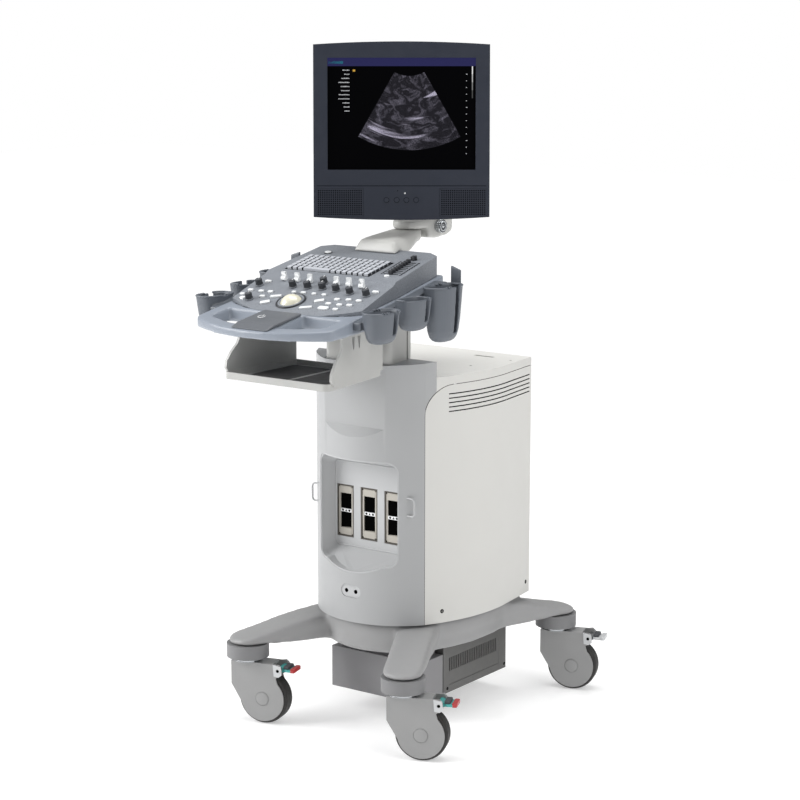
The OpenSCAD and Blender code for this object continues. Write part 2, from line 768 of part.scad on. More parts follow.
module mains_inlet() color([0.12, 0.12, 0.13]) difference() {
  union() {
    block(-91, -29, box_y2 - 14, box_y2, box_z + 25, box_z + 61);
    block(-95, -25, box_y2, box_y2 + 3, box_z + 21, box_z + 65);
  }
  block(-88, -60, box_y2 - 10, box_y2 + 4, box_z + 33, box_z + 54);
  block(-52, -36, box_y2 - 2, box_y2 + 4, box_z + 30, box_z + 56);
}

// ---------- lift column ----------

// Outline of the column's covers with rounded front corners, moved inwards by i
module column2d(i) translate([0, (col_y0 + far) / 2])
  rrect(2 * (col_x - i), far - col_y0 - 2 * i, col_r - i);
module column_front() color([0.80, 0.80, 0.78]) intersection() {
  along_z(col_z0, col_z1) difference() {
    column2d(0);
    column2d(wall);
  }
  block(-far, far, col_y0, col_y1, col_z0, col_z1);
}
module column_back() color([0.72, 0.72, 0.70]) difference() {
  block(-col_x, col_x, col_y1 + col_seam, col_y2, col_z0, col_z1);
  block(wall - col_x, col_x - wall, col_y1, col_y2 - wall, col_z0 - 1, col_z1 + 1);
}
module column_covers() {
  column_front();
  column_back();
}
module lift_tube() color("silver") difference() {
  block(-tube_x, tube_x, tube_y0, tube_y1, tube_z0, col_z1);
  block(2.5 - tube_x, tube_x - 2.5, tube_y0 + 2.5, tube_y1 - 2.5,
    tube_z0 - 1, col_z1 + 1);
}

// ---------- console ----------

// One front corner of that outline, from its side round to just past its front
function corner(i, s) = let (r = max(corner_r - i, 4), cx = rail_x - i - r,
    cy = bow_cy - sqrt((bow_r - i - r) * (bow_r - i - r) - cx * cx))
  concat([for (a = [0:15:45]) [s * (cx + r * cos(a)), cy - r * sin(a)]],
    [[s * (cx + 0.3 * r), cy - 1.02 * r]]);
function back_to_front(p) = [for (i = [len(p) - 1:-1:0]) p[i]];
// Outline of the lower shell and handle, moved inwards by i
module rail2d(i) intersection() {
  translate([0, bow_cy]) circle(r = bow_r - i, $fn = 128);
  polygon(concat([[-rail_x / 2, -far * 2], [rail_x / 2, -far * 2]],
    back_to_front(corner(i, 1)), [[rail_x - i, rail_y0 + 170], [rail_x1 - i, rail_y1 - i],
    [i - rail_x1, rail_y1 - i], [i - rail_x, rail_y0 + 170]], corner(i, -1)));
}
// Outline of the deck, moved inwards by i
module deck2d(i) intersection() {
  translate([0, bow_cy + (deck_y0 - rail_y0) + 52]) circle(r = bow_r + 8 - i, $fn = 128);
  polygon([[-deck_x + i, -far * 2], [deck_x - i, -far * 2], [deck_x - i, riser_y],
    [deck_x1 - i, rail_y1 - 14 - i], [deck_x1 - 26 - i, rail_y1 - i],
    [i + 26 - deck_x1, rail_y1 - i], [i - deck_x1, rail_y1 - 14 - i],
    [i - deck_x, riser_y]]);
}
// Side view of the deck, lowered by i
module deck_side2d(i) polygon([[deck_y0 - 20, under], [deck_y0 - 20, deck_z(deck_y0) - 12 - i],
  [deck_y0, deck_z(deck_y0) - 3 - i], [deck_y0 + 12, deck_z(deck_y0 + 12) - i],
  [riser_y - 1, deck_z(riser_y - 1) - i], [riser_y + 9, key_z(riser_y + 9) - i],
  [rail_y1 + 10, key_z(rail_y1 + 10) - i], [rail_y1 + 10, under]]);
// Places children on the control deck, or on the keyboard deck
module on_deck(x, y) translate([x, y, deck_z(y)]) rotate([deck_tilt, 0, 0]) children();
module on_keys(x, y) translate([x, y, key_z(y)]) rotate([key_tilt, 0, 0]) children();

module console_lower() color(console_grey) {
  yf = rail_y0 - 80;
  difference() {
    intersection() {
      along_z(under, over) rail2d(0);
      along_x(-far, far) polygon([[yf, low_z(yf)], [rail_y1, low_z(rail_y1)],
        [rail_y1, rail_z(rail_y1)], [yf, rail_z(yf)]]);
    }
    // hollow under the deck
    intersection() {
      along_z(under, over) deck2d(3);
      along_x(-far, far) polygon([[deck_y0 + 14, low_z(deck_y0 + 14) + deck_t],
        [rail_y1, low_z(rail_y1) + deck_t], [rail_y1, over], [deck_y0 + 14, over]]);
    }
    // two hand openings behind the handle bar
    for (s = [-1, 1]) intersection() {
      along_z(under, over) rail2d(bar_d);
      block(s > 0 ? palm_x : -far, s > 0 ? far : -palm_x, -far * 2, deck_y0 + 2,
        under, over);
    }
  }
  block(-col_x - 4, col_x + 4, col_y0 - 4, col_y2 + 4, col_z1, low_z(col_y2) + 2);
}
module console_deck() color(console_grey) difference() {
  intersection() {
    along_z(under, over) deck2d(0);
    along_x(-far, far) difference() {
      deck_side2d(0);
      polygon([[-far * 2, 0], [0, 0], [0, rail_z(0)], [-far * 2, rail_z(-far * 2)]]);
    }
  }
  intersection() {
    along_z(under, over) deck2d(deck_t);
    along_x(-far, far) deck_side2d(deck_t);
  }
  // seat of the trackball
  on_deck(ball_x, ball_y) cylinder(d = ring_out - 4, h = 60, center = true);
  // key wells
  for (b = BUTTONS) on_deck(b[0], b[1]) rotate(b[4]) {
    cube([b[2] + 2 * key_gap, b[3] + 2 * key_gap, 16], center = true);
  }
  on_keys(tray_kx, tray_ky) cube([tray_kw, tray_kd, 20], center = true);
  // knob shafts
  for (k = KNOBS) on_deck(k[0], k[1]) cylinder(d = shaft_d + 2 * fit, h = 20, center = true);
}
module palm_rest() color([0.42, 0.44, 0.47]) {
  y0 = rail_y0 - 44;
  y1 = deck_y0 + 2;
  difference() {
    intersection() {
      along_x(-palm_x, palm_x) polygon([[y0, rail_z(y0)], [y0, rail_z(y0) + 2],
        [y0 + 22, rail_z(y0 + 22) + palm_t], [y1, rail_z(y1) + palm_t - 1],
        [y1, rail_z(y1)]]);
      along_z(under, over) rail2d(3);
    }
    along_z(under, over) deck2d(0);
  }
}

// Trackball
ball_x = -19;
ball_y = -362;
ring_out = ball_d + 9;
ball_low = 11;
module trackball_ring() color([0.12, 0.12, 0.13]) on_deck(ball_x, ball_y) {
  difference() {
    union() {
      translate([0, 0, -ball_low - 14]) cylinder(d = ring_out - 4, h = ball_low + 14);
      cylinder(d = ring_out, h = 2);
    }
    translate([0, 0, -ball_low]) sphere(d = ball_d + 2 * ball_gap);
  }
}
module trackball() color([0.90, 0.88, 0.78])
  on_deck(ball_x, ball_y) translate([0, 0, -ball_low]) sphere(d = ball_d);

// Knobs
KNOBS = [[-139, -313], [-119, -370], [-57, -307], [-21, -305], [15, -303],
  [4, -283], [51, -305], [89, -310], [131, -312]];
module knob(k) color([0.28, 0.29, 0.31]) on_deck(KNOBS[k][0], KNOBS[k][1]) {
  translate([0, 0, -deck_t - 2]) cylinder(d = shaft_d, h = deck_t + 3);
  translate([0, 0, 0.3]) cylinder(d = knob_d, h = 4);
  translate([0, 0, 4.3]) cylinder(d = knob_d - 3, h = knob_h - 4);
  translate([-1, 0, 4.3]) cube([2, knob_d / 2 - 1, knob_h - 3.4]);
}

// Toggle paddles, all on one shaft line
PADDLES = [-97, -63, -30, 37, 68, 100];
paddle_y = -285;
module toggle_paddles() color([0.87, 0.88, 0.88])
  for (x = PADDLES) on_deck(x, paddle_y) {
    translate([0, 0, 5]) rotate([0, 90, 0]) cylinder(d = 9, h = 11, center = true);
    translate([0, 3, 12]) rotate([-12, 0, 0]) cube([11, 4, 12], center = true);
  }

// Buttons: x, y, width, depth, turn
BUTTONS = [[-129, -297, 14, 7, 0], [-143, -337, 12, 7, 0], [-115, -337, 12, 7, 0],
  [-92, -336, 12, 7, 0], [-150, -355, 10, 7, 0], [-97, -356, 12, 7, 0],
  [-138, -369, 12, 8, 0], [-66, -351, 24, 8, 20], [-73, -377, 20, 11, 30],
  [-38, -328, 10, 6, 0], [-15, -327, 12, 6, 0], [12, -327, 10, 6, 0],
  [37, -327, 10, 6, 0], [44, -351, 20, 10, 30], [33, -381, 26, 8, 20],
  [79, -339, 12, 7, 0], [73, -376, 22, 11, 0], [72, -358, 12, 7, 0],
  [99, -358, 12, 7, 0], [103, -376, 11, 7, 0], [105, -336, 12, 7, 0],
  [122, -356, 12, 7, 0], [130, -336, 12, 7, 0], [142, -297, 14, 7, 0]];
module panel_buttons() color([0.90, 0.91, 0.91]) {
  for (b = BUTTONS) on_deck(b[0], b[1]) rotate(b[4])
    along_z(-mat_z - 1, button_h) rrect(b[2], b[3], 2.5);
  // the flexible mat that joins them below the deck
  intersection() {
    on_deck(0, -340) difference() {
      along_z(-mat_z - 2, -mat_z) translate([-3, 0]) square([304, 96], center = true);
      translate([ball_x, (ball_y + 340) / cos(deck_tilt), 0])
        cylinder(d = ring_out + 4, h = 60, center = true);
      for (k = KNOBS) translate([k[0], (k[1] + 340) / cos(deck_tilt), 0])
        cylinder(d = shaft_d + 3, h = 60, center = true);
    }
    along_z(under, over) deck2d(deck_t + 2);
  }
}
mat_z = deck_t + 3;
button_h = 3;

// Keyboard
key_cols = 15;
key_rows = 6;
tray_kw = key_cols * key_pitch + 6;
tray_kd = key_rows * key_pitch + 5;
tray_kx = -23;
tray_ky = -200;
tray_deep = 6;
module keyboard_tray() color([0.18, 0.19, 0.21]) on_keys(tray_kx, tray_ky) difference() {
  translate([0, 0, -tray_deep / 2]) cube([tray_kw, tray_kd, tray_deep], center = true);
  translate([0, 0, 2 - tray_deep / 2]) cube([tray_kw - 4, tray_kd - 4, tray_deep],
    center = true);
}
module deck_inserts() {
  keyboard_tray();
  trackball_ring();
}
function key_cx(c) = (c - (key_cols - 1) / 2) * key_pitch;
function key_cy(r) = (r - (key_rows - 1) / 2) * key_pitch;
module key_cap(w) translate([0, 0, key_h / 2 - 1]) cube([w, key_pitch - 3, key_h + 2],
  center = true);
module key_caps() color([0.60, 0.63, 0.67]) on_keys(tray_kx, tray_ky) {
  for (r = [0:key_rows - 1], c = [0:key_cols - 1])
    if (r > 0 || c < 3 || c > 7) translate([key_cx(c), key_cy(r), 0]) key_cap(key_pitch - 3);
    else if (c == 5) translate([key_cx(c), key_cy(r), 0]) key_cap(5 * key_pitch - 3);
  translate([0, 0, key_travel + 2.5 - tray_deep])
    cube([tray_kw - 5, tray_kd - 5, 1], center = true);
}

// Gain sliders
slider_n = 8;
module gain_sliders() color([0.16, 0.17, 0.19])
  for (k = [0:slider_n - 1]) on_keys(122 - k * 0.8, -219 + k * 9.8)
    translate([0, 0, 4.3]) cube([9, 6, 8], center = true);

// ---------- probe holders ----------

// Cups: middle in Y, half length, underside and rim above the top of the handle
CUPS = [[-371, 44, -33, 28], [-265, 44, -20, 42], [-163, 51, -55, 55]];
module cup_solid(c, i) {
  h = c[3] - c[2];
  loft([for (q = [[0, 0.42], [0.03, 0.57], [0.09, 0.70], [0.2, 0.79], [0.4, 0.87],
      [0.7, 0.94], [1, 1]])
    ring(cup_x, c[0], rail_top + c[2] + i + q[0] * (h + (i > 0 ? 2 : 0)), cup_a * q[1] - i,
      c[1] * q[1] - i, 2.6, 36)]);
}
cup_end = CUPS[2][0] + CUPS[2][1];
module cups_right() color([0.41, 0.43, 0.46]) difference() {
  union() {
    for (c = CUPS) cup_solid(c, 0);
    along_x(rail_x - 20, cup_x - cup_a + 6) polygon([[-410, rail_z(-410) - 18],
      [-118, rail_z(-118) - 18], [-118, rail_z(-118) - 2], [-410, rail_z(-410) - 2]]);
    // tab behind the rear cup, for a cord
    along_y(cup_end - 2.5, cup_end + 2) translate([cup_x, rail_top])
      polygon([[-16, 37], [8, 37], [8, 83], [-16, 91]]);
  }
  for (c = CUPS) {
    cup_solid(c, cup_wall);
    block(cup_x + 6, cup_x + 60, c[0] + 8, c[0] + 22, rail_top + c[2] + 16,
      rail_top + c[3] + 1);
  }
  along_z(under - 60, over) rail2d(-0.01);
}
module cups_left() mirror([1, 0, 0]) cups_right();

// ---------- tray ----------

tray_splay = atan((tray_x0 - tray_x) / (tray_y1 - tray_y0));
module tray2d(i) {
  r = 14;
  polygon([[i + 6 - tray_x, tray_y1 - i], [tray_x - 6 - i, tray_y1 - i],
    [tray_x0 - 6 - i, tray_y0 + r], [tray_x0 - 6 - r, tray_y0 + i],
    [r + 6 - tray_x0, tray_y0 + i], [i + 6 - tray_x0, tray_y0 + r]]);
  for (s = [-1, 1]) translate([s * (tray_x0 - 6 - r), tray_y0 + r]) circle(r = r - i);
}
module tray_bracket() color([0.78, 0.78, 0.76]) {
  for (m = [0, 1]) mirror([m, 0, 0]) translate([tray_x, tray_y1, 0]) rotate(tray_splay)
    translate([0, -tray_y1, 0]) along_x(-6, 0) difference() {
      polygon([[tray_y1, tray_z + 13], [-398, tray_z + 4], [-424, tray_z + 8],
        [-432, tray_z + 20], [-430, tray_z + 34], [-416, tray_z + 52],
        [-400, tray_z + 66], [-392, tray_z + 82], [-390, low_z(-390)],
        [tray_y1, low_z(tray_y1)]]);
      for (y = [-350, -328]) polygon([[y - 6, rail_low - 10], [y + 6, rail_low - 10],
        [y + 2, rail_low - 34], [y, rail_low - 36]]);
    }
  difference() {
    along_z(tray_z, tray_z + tray_t) tray2d(0);
    for (s = [-1, 1]) along_z(tray_z + tray_t - 1, tray_z + tray_t + 1)
      translate([s * 54, (tray_y0 + tray_y1) / 2]) rrect(98, 180, 10);
  }
  along_z(tray_z + tray_t, tray_z + 14) difference() {
    tray2d(0);
    tray2d(3);
  }
}

// ---------- monitor arm and monitor ----------

module arm_foot() color([0.84, 0.84, 0.82]) difference() {
  union() {
    hull() {
      block(-56, 56, -112, -60, foot_z, foot_z + 2);
      block(-45, 45, -101, -58, foot_z + 10, foot_z + 26);
      translate([0, arm_y, hub_z0 + 6]) cylinder(d = hub_d - 4, h = hub_z - hub_z0 - 6,
        $fn = 32);
    }
    translate([0, arm_y, hub_z0]) cylinder(d = hub_d - 10, h = 10);
    translate([0, arm_y, hub_z0 + 4]) cylinder(d = hub_d, h = hub_z - hub_z0 - 4);
  }
  translate([0, arm_y, hub_z0 + 5]) cylinder(d = pivot_d + 2 * fit, h = 60);
  along_x(-60, 60) polygon([[-200, under], [-200, key_z(-200)],
    [rail_y1, key_z(rail_y1)], [rail_y1, under]]);
}
module arm_link() color([0.80, 0.80, 0.79]) difference() {
  union() {
    intersection() {
      along_z(hub_z - 55, link_top + 16) {
        translate([0, arm_y]) circle(d = hub_d);
        translate([-32, arm_y]) square([64, link_y - arm_y]);
        translate([0, link_y]) circle(d = 64);
      }
      along_x(-60, 60) polygon([[-60, hub_z + 0.3], [arm_y + hub_d / 2 + 1.5, hub_z + 0.3],
        [arm_y + hub_d / 2 + 1.5, hub_z - 20], [70, hub_z - 24], [110, hub_z - 20],
        [134, hub_z - 11], [146, hub_z], [150, hub_z + 12], [150, link_top],
        [-60, link_top]]);
    }
    translate([0, arm_y, hub_z0 + 6]) cylinder(d = pivot_d, h = hub_z - hub_z0);
  }
  translate([0, link_y, link_top - 24]) cylinder(d = 18 + 2 * fit, h = 60);
  along_x(17, 40) translate([knob_y, link_top - 17]) circle(d = 8 + 2 * fit);
}
module arm_knob() color([0.75, 0.76, 0.76]) translate([0, knob_y, link_top - 17]) {
  difference() {
    along_x(32.3, 45) circle(d = 27);
    for (a = [0:45:359]) rotate([a, 0, 0]) translate([28, 0, 15.5]) rotate([0, 90, 0])
      cylinder(d = 6, h = 20);
  }
  along_x(18, 33) circle(d = 8);
}
// Places children in the swivelling frame of the monitor
module turned() translate([0, link_y, 0]) rotate(mon_turn) children();
// Places children at the screen centre, -Y out of the screen
module at_screen() turned() translate([-head_dx, -head_dy, mon_z])
  rotate([-mon_lean, 0, 0]) children();
module arm_head() color([0.80, 0.80, 0.79]) {
  turned() {
    translate([0, 0, link_top - 23]) cylinder(d = 18, h = 26);
    translate([0, 0, link_top + 0.3]) cylinder(d = 50, h = 32);
    difference() {
      block(-head_dx - 29, 0, -54, 12, link_top + 2, link_top + 32);
      cylinder(d = 49, h = far * 4);
    }
    block(-head_dx - 29, -head_dx + 29, -head_dy + tilt_y + 7, -head_dy + tilt_y + 22,
      link_top + 32, mon_z + tilt_z + 4);
  }
  at_screen() {
    along_x(-30, 30) translate([tilt_y, tilt_z]) circle(r = 13);
    along_x(-48, 48) translate([tilt_y, tilt_z]) circle(d = 12);
  }
}
module face2d(i) intersection() {
  translate([0, (mon_top - mon_low) / 2]) rrect(2 * (mon_x - i),
    mon_top + mon_low + 2 * mon_bow - 2 * i, mon_r);
  translate([0, mon_top + mon_bow - bow_m]) circle(r = bow_m - i, $fn = 192);
  translate([0, bow_m - mon_low - mon_bow]) circle(r = bow_m - i, $fn = 192);
}
bow_m = mon_x * mon_x / 2 / mon_bow;
module monitor_bezel() color([0.26, 0.29, 0.34]) at_screen() {
  difference() {
    along_y(-2, bezel_t) face2d(0);
    along_y(2, bezel_t + 1) face2d(3);
    along_y(-3, 6) square([lcd_w, lcd_h], center = true);
    // seats of the speaker grilles, and the groove above them
    for (s = [-1, 1]) along_y(-3, -1)
      translate([s * 127, -181]) square([98, 58], center = true);
    along_y(-3, -1) translate([0, -147]) square([2 * mon_x - 12, 1.2], center = true);
    for (x = [-31, -10, 10, 30]) along_y(-3, 6) translate([x, -176]) circle(d = 11);
  }
}
module monitor_back() color([0.30, 0.33, 0.38]) at_screen() {
  difference() {
    union() {
      along_y(bezel_t, bezel_t + 8) face2d(2);
      along_y(bezel_t + 8, bezel_t + back_t) rrect(2 * mon_x - 70, 230, 24);
      for (s = [-1, 1]) along_x(s > 0 ? 32 : -46, s > 0 ? 46 : -32) {
        translate([tilt_y, tilt_z]) circle(r = 12);
        polygon([[bezel_t + back_t - 1, tilt_z - 24], [tilt_y, tilt_z - 12],
          [tilt_y, tilt_z + 12], [bezel_t + back_t - 1, tilt_z + 24]]);
      }
    }
    along_x(-60, 60) translate([tilt_y, tilt_z]) circle(d = 12 + 2 * fit);
    along_y(bezel_t - 1, bezel_t + 5) face2d(5);
    along_y(bezel_t, bezel_t + back_t - 4) rrect(2 * mon_x - 78, 222, 20);
  }
}
module lcd_panel() color([0.05, 0.06, 0.08]) at_screen() {
  along_y(2, 12) square([lcd_w + 16, lcd_h + 16], center = true);
}
module monitor_buttons() color([0.55, 0.57, 0.60]) at_screen()
  for (x = [-31, -10, 10, 30]) along_y(-3.5, 1) translate([x, -176]) circle(d = 10);

// ---------- node list ----------

base_cover();
base_pan();
caster_stems();
chassis_frame();
front_shell();
side_panel_left();
side_panel_right();
rear_panel();
top_cover();
port_recess();
probe_ports();
ecg_plate();
cable_hooks();
power_box();
mains_inlet();
card_cage();
fan_rotor();
column_covers();
lift_tube();
console_lower();
console_deck();
palm_rest();
deck_inserts();
cups_left();
cups_right();
tray_bracket();
arm_foot();
trackball();
knob(0);  // knob_1
knob(1);  // knob_2
knob(2);  // knob_3
knob(3);  // knob_4
knob(4);  // knob_5
knob(5);  // knob_6
knob(6);  // knob_7
knob(7);  // knob_8
knob(8);  // knob_9
toggle_paddles();
panel_buttons();
key_caps();
gain_sliders();
arm_link();
arm_head();
arm_knob();
monitor_back();
monitor_bezel();
lcd_panel();
monitor_buttons();
at_stem(-1, -1, turn_fl) caster_shell();  // caster_fl_shell
at_stem(-1, -1, turn_fl) caster_wheel();  // caster_fl_wheel
at_stem(-1, -1, turn_fl) caster_pedal();  // caster_fl_pedal
at_stem(1, -1, turn_fr) caster_shell();  // caster_fr_shell
at_stem(1, -1, turn_fr) caster_wheel();  // caster_fr_wheel
at_stem(1, -1, turn_fr) caster_pedal();  // caster_fr_pedal
at_stem(-1, 1, turn_rl) caster_shell();  // caster_rl_shell
at_stem(-1, 1, turn_rl) caster_wheel();  // caster_rl_wheel
at_stem(-1, 1, turn_rl) caster_pedal();  // caster_rl_pedal
at_stem(1, 1, turn_rr) caster_shell();  // caster_rr_shell
at_stem(1, 1, turn_rr) caster_wheel();  // caster_rr_wheel
at_stem(1, 1, turn_rr) caster_pedal();  // caster_rr_pedal
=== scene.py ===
"""Looks of a cart-mounted ultrasound machine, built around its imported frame."""

import json
import random
from collections import Counter
from math import atan2, cos, hypot, pi, radians, sin

import bmesh
import bpy
from bpy.types import Operator, Panel, PropertyGroup
from mathutils import Matrix, Vector


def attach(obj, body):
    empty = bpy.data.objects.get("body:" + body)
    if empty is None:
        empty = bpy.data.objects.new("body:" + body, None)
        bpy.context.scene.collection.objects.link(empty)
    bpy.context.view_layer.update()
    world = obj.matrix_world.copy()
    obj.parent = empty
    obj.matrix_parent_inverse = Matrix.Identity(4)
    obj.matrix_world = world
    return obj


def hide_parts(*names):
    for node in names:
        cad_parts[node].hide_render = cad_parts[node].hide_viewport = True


bl_info = {
    "name": "Ultrasound Cart Looks",
    "version": (1, 0, 0),
    "blender": (4, 5, 0),
    "location": "3D View > Sidebar > Cart",
    "description": "Finishes, trim and studio for a cart-mounted ultrasound machine",
    "category": "Object",
}

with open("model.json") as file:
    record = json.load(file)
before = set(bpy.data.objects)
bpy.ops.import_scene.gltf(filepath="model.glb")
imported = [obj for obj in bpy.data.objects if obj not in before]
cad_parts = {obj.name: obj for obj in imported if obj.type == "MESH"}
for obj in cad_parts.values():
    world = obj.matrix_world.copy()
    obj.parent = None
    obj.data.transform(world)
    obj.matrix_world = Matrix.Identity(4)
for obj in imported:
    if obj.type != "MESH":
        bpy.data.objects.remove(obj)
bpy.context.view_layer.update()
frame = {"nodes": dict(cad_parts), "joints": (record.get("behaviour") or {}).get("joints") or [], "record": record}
JOINTS = {j["name"]: j for j in frame["joints"]}
BODY_OF = {n: b for b, ns in frame["record"]["behaviour"]["bodies"].items() for n in ns}
SLOT_OF = {s["node"]: s["material_slot"] for s in frame["record"]["subparts"]}
CASTERS = ("fl", "fr", "rl", "rr")
SIDES = (-1, 1)
HAIR = 0.0002  # step that keeps a thin piece clear of the face below it
MERGE = 0.00001  # corners closer than this are one
ACROSS = Vector((1, 0, 0))
FRONTWARD = Vector((0, -1, 0))
UP = Vector((0, 0, 1))
TO_VIEWER = Matrix.Rotation(pi / 2, 4, "X")  # turns slabs on the display to its front
TO_REAR = Matrix.Rotation(-pi / 2, 4, "X")


# ---------- measures of the frame ----------


def joint_place(name):
    """Place and unit axis of a joint."""
    joint = JOINTS[name]
    return Vector(joint.get("pos_m", (0, 0, 0))), Vector(joint["axis"]).normalized()


def frame_from(origin, x_axis, y_axis):
    """A matrix with the given X and Y directions."""
    x = x_axis.normalized()
    y = (y_axis - x * y_axis.dot(x)).normalized()
    turn = Matrix((x, y, x.cross(y))).transposed().to_4x4()
    return Matrix.Translation(origin) @ turn


def corners(node):
    """Every corner of a frame piece."""
    return [v.co for v in frame["nodes"][node].data.vertices]


def extent(node, place=None):
    """Lowest and highest corner of a node in the axes of a place."""
    back = place.inverted() if place else Matrix.Identity(4)
    axes = list(zip(*(back @ p for p in corners(node))))
    return Vector([min(a) for a in axes]), Vector([max(a) for a in axes])


def levels(node):
    """The heights that a frame piece's corners lie at, from the lowest."""
    return sorted({round(p.z, 4) for p in corners(node)})


def screen_place():
    """Centre of the display face, X to its right, Y into it, Z up."""
    _, right = joint_place("screen_tilt")
    _, inward = joint_place("monitor_key_press")
    turn = frame_from(Vector(), right, inward)
    low, high = extent("lcd_panel", turn)
    centre = Vector(((low.x + high.x) / 2, low.y, (low.z + high.z) / 2))
    return Matrix.Translation(turn @ centre) @ turn


def deck_place(joint):
    """Place of a deck control, Z out of the deck."""
    origin, normal = joint_place(joint)
    return frame_from(origin, ACROSS, normal.cross(ACROSS))


def key_place():
    """Place on the keyboard deck, Z out of the keys."""
    _, inward = joint_place("key_press")
    low, high = extent("key_caps")
    return frame_from((low + high) / 2, ACROSS, (-inward).cross(ACROSS))


def caster_place(corner):
    """Stem of a caster on the floor, X towards its wheel."""
    stem, _ = joint_place(f"caster_{corner}_swivel")
    _, axle = joint_place(f"wheel_{corner}_spin")
    return frame_from(Vector((stem.x, stem.y, 0)), axle.cross(UP), axle)


# ---------- shape helpers ----------


def adjust(thing, **settings):
    """Sets some attributes of a thing, and gives it back."""
    for key, value in settings.items():
        setattr(thing, key, value)
    return thing


def new_mesh(name, verts, faces):
    """A mesh of some points and faces."""
    mesh = bpy.data.meshes.new(name)
    mesh.from_pydata(verts, [], faces)
    return mesh


def new_object(name, data):
    """An object in the scene that holds some data."""
    obj = bpy.data.objects.new(name, data)
    bpy.context.scene.collection.objects.link(obj)
    return obj


def circle(r, steps=24, z=0.0):
    """Points of a circle."""
    turns = [2 * pi * i / steps for i in range(steps)]
    return [(r * cos(a), r * sin(a), z) for a in turns]


def rounded_rect(w, h, r, steps=4):
    """Outline of a rectangle with rounded corners."""
    points = []
    for cx, cy, start in ((1, 1, 0), (-1, 1, 90), (-1, -1, 180), (1, -1, 270)):
        for i in range(steps + 1):
            a = radians(start + 90 * i / steps)
            points.append((cx * (w / 2 - r) + r * cos(a), cy * (h / 2 - r) + r * sin(a)))
    return points


def at(x, y, z):
    """A shift, in metres."""
    return Matrix.Translation((x, y, z))


def spin(i, count):
    """A turn about Z to the place of one of some copies."""
    return Matrix.Rotation(2 * pi * i / count, 4, "Z")


def facing(normal, origin):
    """A place at origin whose Z follows a normal."""
    return Matrix.Translation(origin) @ Vector(normal).to_track_quat("Z", "Y").to_matrix().to_4x4()


class Shape:
    """Vertices and faces gathered for one piece."""

    def __init__(self):
        self.verts, self.faces, self.slots = [], [], []

    def add(self, verts, faces, place=None, slot=0):
        """Adds points and the faces between them, moved to a place."""
        start = len(self.verts)
        place = place or Matrix.Identity(4)
        self.verts += [place @ Vector(v) for v in verts]
        self.faces += [[start + i for i in f] for f in faces]
        self.slots += [slot] * len(faces)

    def wall(self, rings, place, slot, capped):
        """Joins rings of as many points each, and closes both ends if capped."""
        n = len(rings[0])
        faces = []
        for k in range(len(rings) - 1):
            for i in range(n):
                j = (i + 1) % n
                faces.append([k * n + i, k * n + j, (k + 1) * n + j, (k + 1) * n + i])
        if capped:
            faces.append(list(range(n - 1, -1, -1)))
            faces.append([(len(rings) - 1) * n + i for i in range(n)])
        self.add([p for ring in rings for p in ring], faces, place, slot)

    def lathe(self, profile, place=None, steps=32, slot=0):
        """Turns a profile of (radius, height) around Z."""
        self.wall([circle(r, steps, z) for r, z in profile], place, slot, False)

    def slab(self, outline, z0, z1, place=None, slot=0, inset=0.0):
        """Extrudes a closed outline, with its top edge broken by inset."""
        n = len(outline)
        centre = Vector((sum(p[0] for p in outline) / n, sum(p[1] for p in outline) / n))
        rings = []
        for z, pull in [(z0, 0.0), (z1 - inset, 0.0)] + ([(z1, inset)] if inset else []):
            ring = []
            for p in outline:
                d = Vector(p[:2]) - centre
                k = 1 - pull / max(d.length, 1e-6)
                ring.append((centre.x + d.x * k, centre.y + d.y * k, z))
            rings.append(ring)
        self.wall(rings, place, slot, True)

    def tube(self, path, radius, place=None, steps=12, slot=0):
        """A round bar along a path of points."""
        path = [Vector(p) for p in path]
        rings = []
        side = None
        for k, p in enumerate(path):
            ahead = (path[min(k + 1, len(path) - 1)] - path[max(k - 1, 0)]).normalized()
            if side is None:
                side = ahead.orthogonal().normalized()
            side = (side - ahead * side.dot(ahead)).normalized()
            up = ahead.cross(side)
            rings.append([p + (side * x + up * y) * radius for x, y, _ in circle(1, steps)])
        self.wall(rings, place, slot, True)

    def piece(self, name, body, finishes, slot=None, angle=40, fix=True):
        """Makes the object, shades it and hangs it on its body."""
        mesh = new_mesh(name, self.verts, self.faces)
        if fix:
            bm = bmesh.new()
            bm.from_mesh(mesh)
            bmesh.ops.recalc_face_normals(bm, faces=bm.faces)
            bm.to_mesh(mesh)
            bm.free()
        dress(mesh, finishes)
        mesh.polygons.foreach_set("material_index", self.slots)
        mesh.shade_smooth()
        mesh.set_sharp_from_angle(angle=radians(angle))
        obj = new_object(name, mesh)
        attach(obj, body)
        return obj


def dress(mesh, finishes):
    """Gives a mesh its materials, by the names of their finishes."""
    mesh.materials.clear()
    for finish in finishes:
        mesh.materials.append(FINISHES[finish])


def paint(node, finishes, choose=None):
    """Gives a frame piece its finishes, and its faces one of them each by their place."""
    mesh = frame["nodes"][node].data
    dress(mesh, finishes)
    if choose:
        for face in mesh.polygons:
            face.material_index = int(choose(face.center, face.normal))


def trim_below(mesh, height):
    """Cuts off what lies below a height and closes the cut."""
    bm = bmesh.new()
    bm.from_mesh(mesh)
    everything = bm.verts[:] + bm.edges[:] + bm.faces[:]
    cut = bmesh.ops.bisect_plane(
        bm, geom=everything, plane_co=(0, 0, height), plane_no=UP, clear_inner=True)["geom_cut"]
    bmesh.ops.holes_fill(bm, edges=[e for e in cut if isinstance(e, bmesh.types.BMEdge)])
    bm.to_mesh(mesh)
    bm.free()


